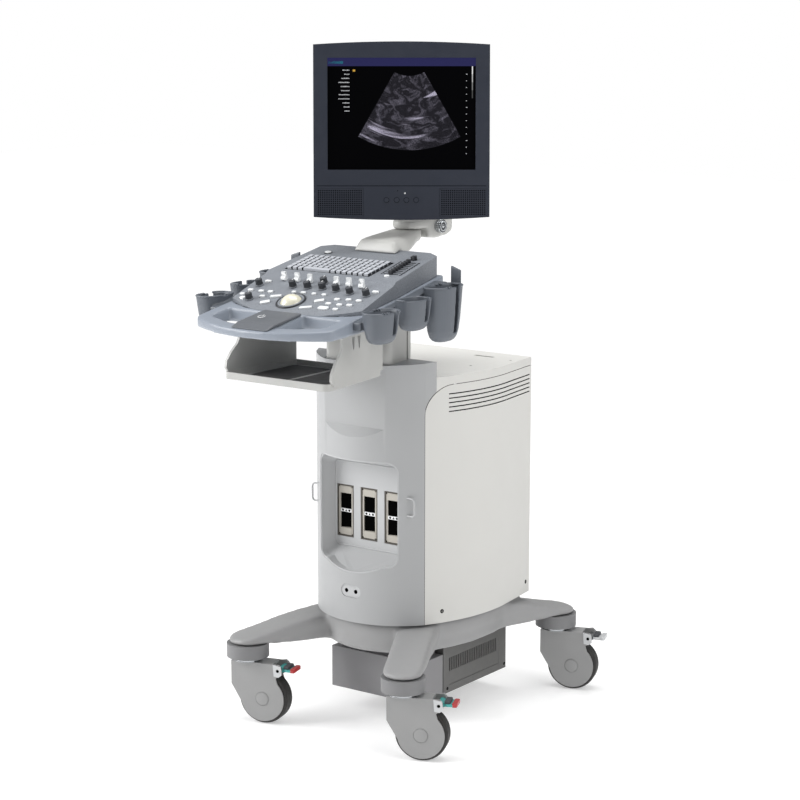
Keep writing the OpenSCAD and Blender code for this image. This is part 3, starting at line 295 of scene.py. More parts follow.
def soften(nodes, name, voxel, rounds, finish, keep=1.0, floor=None):
    """One skin over some nodes of a body, with all edges rounded, cut off below a height."""
    gathered = bmesh.new()
    for node in nodes:
        gathered.from_mesh(frame["nodes"][node].data)
    mesh = bpy.data.meshes.new(name)
    gathered.to_mesh(mesh)
    gathered.free()
    obj = new_object(name, mesh)
    adjust(obj.modifiers.new("weld", "WELD"), merge_threshold=MERGE)
    adjust(obj.modifiers.new("remesh", "REMESH"), mode="VOXEL", voxel_size=voxel)
    adjust(obj.modifiers.new("smooth", "SMOOTH"), factor=0.5, iterations=rounds)
    if keep < 1.0:
        adjust(obj.modifiers.new("thin", "DECIMATE"), ratio=keep)
    graph = bpy.context.evaluated_depsgraph_get()
    done = bpy.data.meshes.new_from_object(obj.evaluated_get(graph))
    obj.modifiers.clear()
    obj.data = done
    done.name = name
    bpy.data.meshes.remove(mesh)
    if floor is not None:
        trim_below(done, floor)
    dress(done, [finish])
    done.shade_smooth()
    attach(obj, BODY_OF[nodes[0]])
    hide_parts(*nodes)


# ---------- finishes ----------


class Nodes:
    """A short way to build a material's nodes."""

    def __init__(self, name):
        self.material = bpy.data.materials.new(name)
        self.material.use_nodes = True
        self.tree = self.material.node_tree

    def feed(self, node, inputs):
        """Gives a node's sockets constants, or the outputs of other nodes."""
        for key, value in inputs.items():
            if isinstance(value, bpy.types.NodeSocket):
                self.tree.links.new(value, node.inputs[key])
            else:
                node.inputs[key].default_value = value

    def add(self, kind, output, inputs, **settings):
        """Adds a node and gives one of its outputs."""
        node = adjust(self.tree.nodes.new(kind), **settings)
        self.feed(node, inputs)
        return node.outputs[output]

    def noise(self, scale, detail=2.0, stretch=(1, 1, 1), warp=0.0, space="Object"):
        """A noise in the piece's own coordinates, which are in metres, or in its UV map."""
        coords = self.add("ShaderNodeTexCoord", space, {})
        mapped = self.add("ShaderNodeMapping", "Vector", {"Vector": coords, "Scale": stretch})
        return self.add("ShaderNodeTexNoise", "Fac", {
            "Vector": mapped, "Scale": scale, "Detail": detail, "Distortion": warp})

    def spread(self, value, low=0.0, high=1.0, start=0.3, end=0.7):
        """Maps a noise onto a range."""
        return self.add("ShaderNodeMapRange", "Result", {
            "Value": value, "From Min": start, "From Max": end, "To Min": low, "To Max": high})

    def blend(self, factor, first, second):
        """Mixes two colours, or a node's colour and another, by a factor."""
        a, b = ((*c, 1) if isinstance(c, tuple) else c for c in (first, second))
        inputs = {"Factor": factor, "A": a, "B": b}
        return self.add("ShaderNodeMix", "Result", inputs, data_type="RGBA")

    def maths(self, operation, first, second):
        """Works out one number from two."""
        return self.add("ShaderNodeMath", "Value", {0: first, 1: second}, operation=operation)

    def bump(self, height, strength, distance, below=None):
        """Relief from a height, on top of an earlier one."""
        inputs = {"Height": height, "Strength": strength, "Distance": distance}
        if below is not None:
            inputs["Normal"] = below
        return self.add("ShaderNodeBump", "Normal", inputs)

    def shade(self, inputs):
        """Gives the shader its inputs, and the material back."""
        self.feed(self.tree.nodes["Principled BSDF"], inputs)
        return self.material


def shaded(colour, k):
    """A colour made lighter or darker."""
    return tuple(min(1.0, c * k) for c in colour)


def moulded(name, colour, rough=0.45, grain=0.12, mottle=0.04, specks=0.0, coat=0.0):
    """Moulded plastic: a fine spark-eroded grain and faint flow marks."""
    grains_per_metre = 1000 / 0.9
    n = Nodes(name)
    tint = n.blend(n.spread(n.noise(7, 3)), shaded(colour, 1 - mottle), shaded(colour, 1 + mottle))
    if specks:
        dark = n.spread(n.noise(620, 1), start=0.52, end=0.66)
        tint = n.blend(dark, tint, shaded(colour, 1 - specks))
        light = n.spread(n.noise(540, 1), start=0.60, end=0.72)
        tint = n.blend(light, tint, shaded(colour, 1 + specks))
    lacquer = {"Coat Weight": coat, "Coat Roughness": 0.2} if coat else {}
    return n.shade({
        "Base Color": tint,
        "Roughness": n.spread(n.noise(45, 3), rough - 0.05, rough + 0.05),
        "Normal": n.bump(n.noise(grains_per_metre), grain, 0.0004),
        **lacquer,
    })


def painted(name, colour, rough=0.42):
    """Powder coat on sheet or cast metal: a soft orange peel."""
    n = Nodes(name)
    peel = n.bump(n.noise(420), 0.10, 0.0005)
    return n.shade({
        "Base Color": n.blend(n.spread(n.noise(9, 3)), shaded(colour, 0.97), shaded(colour, 1.03)),
        "Roughness": n.spread(n.noise(60, 3), rough - 0.05, rough + 0.06),
        "Normal": n.bump(n.noise(1500, 1), 0.10, 0.0003, peel),
        "Coat Weight": 0.12,
        "Coat Roughness": 0.25,
    })


def plated(name, colour=(0.52, 0.54, 0.56), rough=0.10):
    """Chrome plate with faint polishing marks."""
    n = Nodes(name)
    return n.shade({
        "Metallic": 1.0,
        "Base Color": n.blend(n.spread(n.noise(160, 4)), shaded(colour, 0.94), colour),
        "Roughness": n.spread(n.noise(240, 3), rough, rough + 0.08),
        "Normal": n.bump(n.noise(900), 0.04, 0.0003),
    })


def brushed(name, colour=(0.62, 0.63, 0.64), rough=0.32):
    """Steel or aluminium brushed along Z."""
    n = Nodes(name)
    lines = n.noise(900, stretch=(1, 1, 0.02))
    return n.shade({
        "Metallic": 1.0,
        "Base Color": n.blend(n.spread(lines), shaded(colour, 0.9), shaded(colour, 1.06)),
        "Roughness": n.spread(lines, rough - 0.06, rough + 0.08),
        "Normal": n.bump(lines, 0.10, 0.0003),
    })


def tread(name, colour=(0.022, 0.021, 0.020), dust=(0.06, 0.057, 0.052)):
    """Caster tyre: matt, with patches of dust."""
    n = Nodes(name)
    return n.shade({
        "Base Color": n.blend(n.spread(n.noise(90, 5), 0, 0.35, 0.45, 0.75), colour, dust),
        "Roughness": n.spread(n.noise(130, 3), 0.55, 0.75),
        "Normal": n.bump(n.noise(1100), 0.2, 0.0005),
    })


def hollow(name):
    """The unlit depth of a hole, slot or joint."""
    n = Nodes(name)
    return n.shade({
        "Base Color": n.blend(n.noise(300, 1), (0.001, 0.001, 0.001), (0.003, 0.003, 0.003)),
        "Specular IOR Level": 0.0,
        "Roughness": 0.9,
    })


def display(n, inputs, colour=(0.0012, 0.0012, 0.0016)):
    """A material of the display: an anti-glare surface that hardly mirrors."""
    face = {"Base Color": (*colour, 1), "Specular IOR Level": 0.02, "Roughness": 0.3}
    return n.shade({**face, **inputs})


def display_face(name):
    """The dark face of the display, with a fine haze."""
    n = Nodes(name)
    haze = n.bump(n.noise(1800, 1), 0.03, 0.0002)
    return display(n, {"Roughness": n.spread(n.noise(900), 0.28, 0.36), "Normal": haze})


def glowing(name, colour):
    """A lit mark on the display."""
    n = Nodes(name)
    light = n.blend(n.spread(n.noise(900), 0.75, 1.0), (0, 0, 0), colour)
    return display(n, {"Emission Color": light, "Emission Strength": 1.0}, shaded(colour, 0.1))


def echo_glow(name):
    """Speckled grey picture in angle and depth, brighter along tissue layers."""
    n = Nodes(name)
    speckle = n.spread(n.noise(95, 3, (1.0, 1.7, 1), space="UV"), 0.05, 1.0, 0.40, 0.66)
    tissue = n.spread(n.noise(6, 5, (0.9, 1.4, 1), 1.6, "UV"), start=0.46, end=0.72)
    layers = n.spread(n.noise(5, 2, (0.25, 2.0, 1), 0.8, "UV"), start=0.60, end=0.70)
    echoes = n.maths("MAXIMUM", n.maths("MULTIPLY", tissue, 0.30), n.maths("MULTIPLY", layers, 1.3))
    level = n.maths("MULTIPLY", n.maths("ADD", echoes, 0.045), speckle)
    light = n.blend(level, (0.0015, 0.0015, 0.002), (0.72, 0.68, 0.86))
    return display(n, {"Emission Color": light, "Emission Strength": 1.0})


FINISHES = {}
GREY_STEPS = (0.8, 0.45, 0.2, 0.07)  # levels of the grey scale on the display


def make_finishes(colours):
    """Every finish of the machine. Those of the frame are kept by its material slots' names."""
    white, grey, base, deck, handle, knob = (tuple(getattr(colours, key)) for key in (
        "shell_white", "shell_grey", "base", "console", "handle", "knobs"))
    FINISHES.update({
        "base_plastic": moulded("base_moulding", base, 0.48, mottle=0.02),
        "pan_grey": moulded("base_pan_moulding", shaded(base, 0.95), 0.48, mottle=0.02),
        "chrome_ring": plated("swivel_chrome"),
        "collar_grey": moulded("collar_moulding", (0.20, 0.20, 0.205), 0.5),
        "frame_metal": brushed("frame_aluminium"),
        "shell_grey": moulded("front_shell_moulding", grey, 0.42, mottle=0.015),
        "shell_white": moulded("cover_moulding", white, 0.42, mottle=0.012),
        # painted light: the top cover's upward faces get a lighter white, standing in for the light from above
        "cover_white_painted_light": moulded("top_cover_moulding_painted_light", shaded(white, 1.18), 0.42, mottle=0.012),
        "recess_grey": moulded("recess_moulding", shaded(grey, 1.24), 0.45, mottle=0.015),
        # painted shade: unlit near black for the depth of socket mouths and holes
        "port_black": hollow("socket_depth_shade"),
        "hook_grey": moulded("hook_moulding", shaded(grey, 1.1), 0.38, mottle=0.015),
        "box_grey": painted("power_box_paint", (0.115, 0.114, 0.110), 0.45),
        "box_front": painted("power_box_front", (0.235, 0.232, 0.240), 0.40),
        "board_cage": brushed("cage_aluminium", (0.5, 0.5, 0.5)),
        "column_white": moulded("column_moulding", (0.46, 0.46, 0.445), 0.40, mottle=0.015),
        "tube_steel": brushed("lift_tube_steel"),
        "console_grey": moulded("console_moulding", deck, 0.46, grain=0.2, specks=0.30),
        "handle_grey": moulded("handle_moulding", handle, 0.38, 0.05, 0.015, coat=0.15),
        "palm_grey": moulded("palm_moulding", shaded(deck, 0.55), 0.42, grain=0.2),
        # painted shade: unlit near black for the gaps under and between keys and buttons
        "tray_dark": hollow("key_gap_shade"),
        "cup_grey": moulded("cup_moulding", (0.105, 0.118, 0.138), 0.42, mottle=0.03),
        "tray_beige": moulded("tray_moulding", (0.44, 0.44, 0.425), 0.42),
        # dark tray mats, partly painted shade of the tray's pockets
        "shaded_tray_mat": moulded("shaded_tray_mat", (0.085, 0.082, 0.080), 0.6, grain=0.3),
        "arm_white": moulded("arm_moulding", (0.52, 0.52, 0.50), 0.38, mottle=0.015),
        "ball_cream": moulded("trackball_resin", (0.74, 0.715, 0.575), 0.16, grain=0.02, coat=0.5),
        "knob_charcoal": moulded("knob_rubber", knob, 0.55, grain=0.25),
        "key_white": moulded("button_white", (0.74, 0.76, 0.77), 0.38),
        "key_grey": moulded("key_top", (0.48, 0.50, 0.54), 0.38),
        "slider_dark": moulded("slider_black", (0.02, 0.022, 0.027), 0.45),
        "monitor_blue": moulded("monitor_moulding", (0.0130, 0.0172, 0.0300), 0.45, 0.18, 0.03),
        "screen_black": display_face("display_black"),
        "caster_grey": moulded("caster_moulding", (0.32, 0.32, 0.32), 0.45),
        "tyre_dark": tread("caster_tyre"),
        "bracket_steel": painted("bracket_steel", (0.60, 0.61, 0.62), 0.25),
        # dark joints, and painted shade in holes, slots and behind vents, in unlit near black
        "line_black": hollow("seams_and_hole_shade"),
        "echo_picture": echo_glow("echo_picture"),
    })
    for name, colour, rough in (
            ("inlet_black", (0.012, 0.012, 0.013), 0.4),
            ("board_green", (0.02, 0.10, 0.05), 0.35),
            ("fan_black", (0.02, 0.02, 0.02), 0.5),
            # painted shade: the sides of the keys, darker than their tops and fronts
            ("key_side_shade", (0.030, 0.034, 0.042), 0.5),
            ("slot_brown", (0.05, 0.043, 0.036), 0.5),
            ("pedal_teal", (0.06, 0.36, 0.34), 0.35),
            ("pedal_red", (0.42, 0.03, 0.03), 0.35),
            ("mark_white", (0.80, 0.81, 0.82), 0.4),
            ("port_cream", (0.43, 0.405, 0.36), 0.42),
            ("port_frame", (0.075, 0.066, 0.054), 0.42)):
        FINISHES[name] = moulded(name, colour, rough)
    greys = [(f"grey_step_{k}", (level, level, level)) for k, level in enumerate(GREY_STEPS)]
    for name, colour in (
            ("header_blue", (0.025, 0.025, 0.09)),
            ("label_teal", (0.02, 0.22, 0.28)),
            ("text_white", (0.55, 0.56, 0.58)),
            ("cursor_amber", (0.6, 0.35, 0.06)),
            *greys):
        FINISHES[name] = glowing(name, colour)


# ---------- sizes and colours a user would change ----------


class CartColours(PropertyGroup):
    shell_white: bpy.props.FloatVectorProperty(
        name="Cover White", description="Side and top covers", subtype="COLOR",
        size=3, min=0, max=1, default=(0.62, 0.615, 0.59))
    shell_grey: bpy.props.FloatVectorProperty(
        name="Front Grey", description="Front shell", subtype="COLOR",
        size=3, min=0, max=1, default=(0.375, 0.38, 0.385))
    base: bpy.props.FloatVectorProperty(
        name="Base Grey", description="Base cover and legs", subtype="COLOR",
        size=3, min=0, max=1, default=(0.31, 0.31, 0.312))
    console: bpy.props.FloatVectorProperty(
        name="Console Grey", description="Console deck and palm rest", subtype="COLOR",
        size=3, min=0, max=1, default=(0.205, 0.22, 0.245))
    handle: bpy.props.FloatVectorProperty(
        name="Handle Grey", description="Lower console shell and handle", subtype="COLOR",
        size=3, min=0, max=1, default=(0.238, 0.266, 0.312))
    knobs: bpy.props.FloatVectorProperty(
        name="Knob Charcoal", description="Rotary knobs", subtype="COLOR",
        size=3, min=0, max=1, default=(0.052, 0.056, 0.064))


class CartSizes(PropertyGroup):
    edge_break: bpy.props.FloatProperty(
        name="Edge Break", description="Rounding of the moulded edges",
        default=0.0012, min=0, unit="LENGTH")
    screw_head: bpy.props.FloatProperty(
        name="Screw Head", description="Diameter of the cover screws",
        default=0.0065, min=0.003, unit="LENGTH")
    grille_pitch: bpy.props.FloatProperty(
        name="Grille Pitch", description="Spacing of the speaker holes",
        default=0.0044, min=0.003, unit="LENGTH")


class CartStage(PropertyGroup):
    azimuth: bpy.props.FloatProperty(
        name="Azimuth", description="Camera angle from straight ahead",
        default=radians(36.0), subtype="ANGLE")
    drop: bpy.props.FloatProperty(
        name="Drop", description="How far the camera looks down",
        default=radians(10.7), subtype="ANGLE")
    eye: bpy.props.FloatVectorProperty(
        name="Eye", description="Camera position", subtype="XYZ", size=3, unit="LENGTH",
        default=(2.7308, -3.7789, 1.5504))
    lens: bpy.props.FloatProperty(
        name="Lens", description="Focal length in millimetres on a 36 mm sensor",
        default=100.35, min=20)
    floor_glow: bpy.props.FloatProperty(
        name="Floor Glow", description="Light that the floor gives off near the cart",
        default=0.38, min=0)
    far_glow: bpy.props.FloatProperty(
        name="Far Glow", description="Light that the floor gives off far away",
        default=0.78, min=0)
    light: bpy.props.FloatProperty(
        name="Light", description="Power of the large soft light",
        default=95.0, min=0, unit="POWER")


# ---------- finishes of the frame ----------


class CART_OT_frame_finishes(Operator):
    """Gives every piece of the frame its finish and breaks its edges"""

    bl_idname = "cart.frame_finishes"
    bl_label = "Frame Finishes"

    def execute(self, context):
        make_finishes(context.scene.cart_colours)
        edge = context.scene.cart_sizes.edge_break
        fine_edge = edge / 3  # so that the key tray stays clear of the keys
        sharp = ("card_cage", "fan_rotor", "lift_tube", "chassis_frame", "mains_inlet",
                 "cups_left", "cups_right")
        for name, obj in frame["nodes"].items():
            paint(name, [SLOT_OF[name]])
            obj.data.shade_smooth()
            if name in sharp:
                continue
            adjust(obj.modifiers.new("weld", "WELD"), merge_threshold=MERGE)
            adjust(obj.modifiers.new("edge_break", "BEVEL"), segments=2, limit_method="ANGLE",
                   angle_limit=radians(35), use_clamp_overlap=True,
                   width=fine_edge if name == "deck_inserts" else edge)
            adjust(obj.modifiers.new("even_normals", "WEIGHTED_NORMAL"), mode="FACE_AREA", weight=100)
        return {"FINISHED"}


SOCKET_WIDTH = 0.043


def sockets():
    """Lowest and highest corner of the three probe sockets, and the step between two."""
    low, high = extent("probe_ports")
    return low, high, (high.x - low.x - SOCKET_WIDTH) / 2


def paint_sockets():
    """Dark frames, mouths above and below a pale band painted black as the shade of their depth, cream strips and
    latches.
    """
    low, high, pitch = sockets()
    middle, half = (low.z + high.z) / 2, (high.z - low.z) / 2
    side_rim, end_rim = 0.0029, 0.003
    band = 0.0036  # half its height
    mouth = 0.0143  # half its width
    latch = 0.0192  # from the socket's end

    def choose(c, n):
        x = min(abs(c.x - k * pitch) for k in (-1, 0, 1))
        z = abs(c.z - middle)
        if x > SOCKET_WIDTH / 2 - side_rim or z > half - end_rim:
            return 0
        if z < band:
            return 2
        if x > mouth or z > half - latch:
            return 3
        # painted shade: front faces inside each mouth are black, standing in for its depth
        return 1 if n.y < -0.5 else 0

    paint("probe_ports", ["port_frame", "port_black", "mark_white", "port_cream"], choose)
    low, high = extent("ecg_plate")
    face = low.y + 0.0003
    middle = (low.z + high.z) / 2
    reach, half = 0.0168, 0.0048
    # painted shade: the holes of the ECG plate are black
    paint("ecg_plate", ["recess_grey", "port_black"],
          lambda c, n: c.y > face and abs(c.x) < reach and abs(c.z - middle) < half)


def paint_cabinet():
    """Dark joints and slots of the covers, with painted shade inside the rear slots, painted light on the top
    cover's upward faces, a light front of the power box, boards in the cage.
    """
    for side in ("left", "right"):
        paint(f"side_panel_{side}", ["shell_white", "line_black"],
              lambda c, n: abs(n.x) < 0.3 and n.y < 0.5)
    # painted light: faces of the top cover that point up are painted lighter, as if lit from above
    paint("top_cover", ["shell_white", "cover_white_painted_light"], lambda c, n: n.z > 0.7)
    # painted shade: faces that point up and down in the middle of the rear panel, inside its slots, are black
    slots_reach, slots_top = 0.14, 0.78
    paint("rear_panel", ["shell_white", "line_black"],
          lambda c, n: abs(n.z) > 0.7 and abs(c.x) < slots_reach and c.z < slots_top)
    front = extent("power_box")[0].y + 0.08
    paint("power_box", ["box_grey", "box_front"], lambda c, n: c.y < front)
    boards_low, boards_high = (-0.092, -0.056, 0.304), (0.092, 0.136, 0.541)
    paint("card_cage", ["board_cage", "board_green"],
          lambda c, n: all(a < b < d for a, b, d in zip(boards_low, c, boards_high)))


def paint_controls():
    """Painted shade: near black on the carriers under keys and buttons and on the key tray, darker sides on the
    keys. A grey ring round the ball, the arm's knob.
    """
    place = key_place()
    back = place.inverted()
    turn = back.to_3x3()
    carrier = extent("key_caps", place)[0].z + 0.0012

    def choose(c, n):
        # painted shade: the carriers below the key tops are near black
        if (back @ c).z < carrier:
            return 1
        lean = turn @ n
        # painted shade: key sides, other than the front, are darker than the tops
        return 0 if lean.z > 0.5 or lean.y < -0.7 else 2

    paint("key_caps", ["key_grey", "tray_dark", "key_side_shade"], choose)
    deck = deck_place("knob_1_turn")
    deck_back = deck.inverted()
    button_carrier = extent("panel_buttons", deck)[0].z + 0.0015
    # painted shade: the carrier under the buttons is near black
    paint("panel_buttons", ["key_white", "tray_dark"],
          lambda c, n: (deck_back @ c).z < button_carrier)
    ball, _ = joint_place("ball_roll")
    ring_reach = 0.045
    # painted shade: the key tray is near black away from the ball
    paint("deck_inserts", ["tray_dark", "console_grey"],
          lambda c, n: (c - ball).length < ring_reach)
    paint("monitor_buttons", ["monitor_blue"])
    paint("arm_knob", ["chrome_ring", "knob_charcoal"], lambda c, n: n.x > 0.9)


def paint_casters():
    """Plated rings under grey collars. Brake levers: teal with a red tip in front, plated behind."""
    collar = levels("caster_stems")[-2] + HAIR
    paint("caster_stems", ["chrome_ring", "collar_grey"], lambda c, n: c.z > collar)
    tip_length = 0.012
    for corner in CASTERS:
        node = f"caster_{corner}_pedal"
        place = caster_place(corner)
        back = place.inverted()
        tip = extent(node, place)[1].x - tip_length
        finishes = ["pedal_teal", "pedal_red"] if corner[0] == "f" else ["chrome_ring"] * 2
        paint(node, finishes, lambda c, n: (back @ c).x > tip)


class CART_OT_two_tone(Operator):
    """Second colours on pieces that are moulded or fitted in more than one, and painted light and shade on some of
    their faces
    """

    bl_idname = "cart.two_tone"
    bl_label = "Second Colours"

    def execute(self, context):
        paint_sockets()
        paint_cabinet()
        paint_controls()
        paint_casters()
        return {"FINISHED"}


class CART_OT_soft_forms(Operator):
    """Rounded skins of the base, the handle, the palm rest, the cups and the arm"""

    bl_idname = "cart.soft_forms"
    bl_label = "Rounded Forms"

    def execute(self, context):
        above_boss = extent("arm_link")[1].z + 0.0005
        # nodes, name, voxel size, rounds of smoothing, finish, share of faces kept, floor
        skins = (
            (("base_cover", "base_pan"), "base_skin", 0.004, 44, "base_plastic", 0.6, None),
            (("console_lower",), "handle_skin", 0.0025, 16, "handle_grey", 1.0, None),
            (("palm_rest",), "palm_rest_skin", 0.0016, 16, "palm_grey", 0.5, None),
            (("cups_left",), "cups_left_skin", 0.0014, 5, "cup_grey", 0.35, None),
            (("cups_right",), "cups_right_skin", 0.0014, 5, "cup_grey", 0.35, None),
            (("arm_foot",), "arm_foot_skin", 0.003, 44, "arm_white", 0.6, None),
            (("arm_link",), "arm_link_skin", 0.0025, 26, "arm_white", 0.6, None),
            (("arm_head",), "arm_head_skin", 0.0025, 22, "arm_white", 0.6, above_boss),
        )
        for skin in skins:
            soften(*skin)
        return {"FINISHED"}


# ---------- monitor ----------


def display_marks(place, face):
    """Header, lines of dashes, cursor, depth ticks and grey scale, as flat bars on a face."""
    width, height = 0.304, 0.228
    left, right, top = -width / 2, width / 2, height / 2
    marks = Shape()

    def bar(x, z, w, h, slot):
        outline = [(x, z), (x + w, z), (x + w, z + h), (x, z + h)]
        marks.add([(px, face, pz) for px, pz in outline], [[0, 1, 2, 3]], place, slot)

    header = 0.017
    bar(left, top - header, width, header, 0)
    bar(left + 0.002, top - 0.012, 0.030, 0.005, 1)
    rng = random.Random(4)
    lines, line_pitch, gap = 11, 0.0083, 0.0007
    for k in range(lines):
        length = rng.choice((0.010, 0.013, 0.017, 0.022, 0.032))
        x = left + 0.045
        while length > 0:
            dash = rng.choice((0.0011, 0.0017, 0.0024))
            bar(x - dash, top - 0.0262 - line_pitch * k, dash, rng.choice((0.0016, 0.0021)), 2)
            x -= dash + gap
            length -= dash + gap
    ticks, tick_pitch, long_tick = 13, 0.0135, 5
    for k in range(ticks):
        bar(right - 0.020, top - 0.034 - tick_pitch * k, 0.002 if k % long_tick else 0.003, 0.0013, 2)
    per_grey, patch = 6, 0.0027
    for k in range(per_grey * len(GREY_STEPS)):
        bar(right - 0.008, top - 0.020 - patch * k, 0.0022, patch, 4 + k // per_grey)
    bar(left + 0.052, top - 0.028, 0.005, 0.004, 3)
    greys = [f"grey_step_{k}" for k in range(len(GREY_STEPS))]
    finishes = ["header_blue", "label_teal", "text_white", "cursor_amber", *greys]
    marks.piece("display_marks", "monitor", finishes, fix=False)


def echo_fan(place, face):
    """The fan of echoes, with its own coordinates of angle and depth."""
    shift, apex = 0.016, 0.139
    near, far, half = 0.062, 0.213, radians(29.5)
    steps, rows = 40, 30
    verts, faces, uvs = [], [], []
    for r in range(rows + 1):
        for a in range(steps + 1):
            depth = near + (far - near) * r / rows
            angle = -half + 2 * half * a / steps
            x, z = depth * sin(angle) + shift, apex - depth * cos(angle)
            verts.append(place @ Vector((x, face, z)))
            uvs.append((a / steps, r / rows))
    for r in range(rows):
        for a in range(steps):
            i = r * (steps + 1) + a
            faces.append([i, i + 1, i + steps + 2, i + steps + 1])
    mesh = new_mesh("echo_fan", verts, faces)
    layer = mesh.uv_layers.new(name="depth_angle")
    for loop in mesh.loops:
        layer.data[loop.index].uv = uvs[loop.vertex_index]
    dress(mesh, ["echo_picture"])
    fan = new_object("echo_fan", mesh)
    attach(fan, "monitor")


class CART_OT_display_picture(Operator):
    """The lit picture: a plain fan of echoes with bars, ticks and a grey scale"""

    bl_idname = "cart.display_picture"
    bl_label = "Display Picture"

    def execute(self, context):
        place = screen_place()
        display_marks(place, -HAIR)
        echo_fan(place, -1.5 * HAIR)
        return {"FINISHED"}


def speaker_grilles(place, front, pitch):
    """Two sunk fields of small holes below the display, each hole a flat black disc as painted shade of its depth.
    """
    columns, rows = 21, 12
    field = rounded_rect(0.0972, 0.0572, 0.003)
    hole = circle(0.0015, 8)
    grille = Shape()
    for side in SIDES:
        middle = place @ at(side * 0.127, front, -0.181) @ TO_VIEWER
        grille.slab(field, -0.0012, -HAIR, middle, inset=0.0003)
        for i in range(columns):
            for k in range(rows):
                spot = at((i - (columns - 1) / 2) * pitch, (k - (rows - 1) / 2) * pitch, 0)
                # painted shade: each hole is a thin black disc
                grille.slab(hole, -0.0004, -0.00012, middle @ spot, 1)
    grille.piece("speaker_grilles", "monitor", ["monitor_blue", "line_black"], "monitor_blue")


def monitor_marks(place, front, width):
    """The seam below the display, two lamps and the rims round the four keys."""
    trim = Shape()

    def spot(x, z):
        return place @ at(x, front, z) @ TO_VIEWER

    trim.slab(rounded_rect(width - 0.013, 0.0011, 0.0005, 1), -0.0009, -0.0006, spot(0, -0.147))
    trim.slab(circle(0.0016, 16), -0.001, 0.0005, spot(0.007, -0.162), 1)
    trim.slab(circle(0.001, 12), -0.001, 0.0003, spot(-0.008, -0.157))
    rim = [(0.0047, 0), (0.0049, 0.0003), (0.0054, 0.0003), (0.0057, 0)]
    for x in (-0.031, -0.010, 0.010, 0.030):
        trim.lathe(rim, spot(x, -0.176), 24)
    trim.piece("monitor_trim", "monitor", ["line_black", "mark_white"], "monitor_blue")


def monitor_back_trim(place):
    """Cooling slots, screws and a socket cover on the back of the monitor. The slots are flat black bars, painted
    shade of their depth.
    """
    own = [place.inverted() @ p for p in corners("monitor_back")]
    upper = 0.05
    rear = max(p.y for p in own if p.z > upper)
    flat = [p for p in own if p.y > rear - 0.001]
    half = max(p.x for p in flat if p.z > upper)
    top = max(p.z for p in flat)
    back = Shape()

    def spot(x, z):
        return place @ at(x, rear, z) @ TO_REAR

    slots, pitch = 14, 0.0065
    slot = rounded_rect(0.0026, 0.034, 0.0012, 2)
    screw = [(0.0, 0.0004), (0.0014, 0.0004), (0.0016, 0.0012), (0.0030, 0.0010), (0.0034, 0.0)]
    for side in SIDES:
        for k in range(slots):
            # painted shade: each cooling slot is a thin black bar
            back.slab(slot, -0.0005, HAIR, spot(side * (half - 0.030 - pitch * k), top - 0.030))
        for z in (top - 0.014, 0.016 - top):
            back.lathe(screw, spot(side * (half - 0.014), z), 20, 1)
    cover = spot(half - 0.060, 0.030 - top)
    back.slab(rounded_rect(0.078, 0.026, 0.003), -0.0005, 0.0012, cover, 2, 0.0005)
    back.slab(rounded_rect(0.020, 0.0022, 0.001, 2), 0.001, 0.0014, cover @ at(0, -0.009, 0))
    finishes = ["line_black", "collar_grey", "monitor_blue"]
    back.piece("monitor_back_trim", "monitor", finishes, "monitor_blue")


class CART_OT_monitor_trim(Operator):
    """Grilles, seam, lamps and the back of the monitor"""

    bl_idname = "cart.monitor_trim"
    bl_label = "Monitor Trim"

    def execute(self, context):
        place = screen_place()
        low, high = extent("monitor_bezel", place)
        speaker_grilles(place, low.y, context.scene.cart_sizes.grille_pitch)
        monitor_marks(place, low.y, high.x - low.x)
        monitor_back_trim(place)
        return {"FINISHED"}


# ---------- console and arm ----------


def mouth_paths(points, height, gap=0.011, pull=0.0013):
    """Runs of points along the outer edge of a cup's mouth, broken where it is open."""
    same_level, same_edge, near = 0.0003, 0.001, radians(4)
    level = {(round(p.x, 5), round(p.y, 5)) for p in points if abs(p.z - height) < same_level}
    centre = Vector([(min(c) + max(c)) / 2 for c in zip(*level)])
    polar = sorted((atan2(y - centre.y, x - centre.x), hypot(x - centre.x, y - centre.y))
                   for x, y in level)
    outer = [(a, r) for a, r in polar
             if all(q < r + same_edge for b, q in polar if abs(b - a) < near)]
    ring = [Vector((centre.x + (r - pull) * cos(a), centre.y + (r - pull) * sin(a), height))
            for a, r in outer]
    breaks = [i for i, p in enumerate(ring) if (p - ring[i - 1]).length > gap]
    return [ring[i:j] if i < j else ring[i:] + ring[:j]
            for i, j in zip(breaks, breaks[1:] + breaks[:1])]


class CART_OT_cup_rims(Operator):
    """A rounded bead around the mouth of each probe cup, open at its cord slot"""

    bl_idname = "cart.cup_rims"
    bl_label = "Cup Rims"

    def execute(self, context):
        cups, least_height, bead = 3, 0.05, 0.0023
        for side in ("left", "right"):
            points = corners(f"cups_{side}")
            counts = Counter(round(p.z, 4) for p in points)
            above = [z for z in counts if z > min(counts) + least_height]
            rims = Shape()
            for height in sorted(above, key=counts.get)[-cups:]:
                for path in mouth_paths(points, height):
                    if len(path) > 3:
                        rims.tube(path, bead, steps=10)
            rims.piece(f"cup_rims_{side}", "lift", ["cup_grey"], "cup_grey", angle=60)
        return {"FINISHED"}


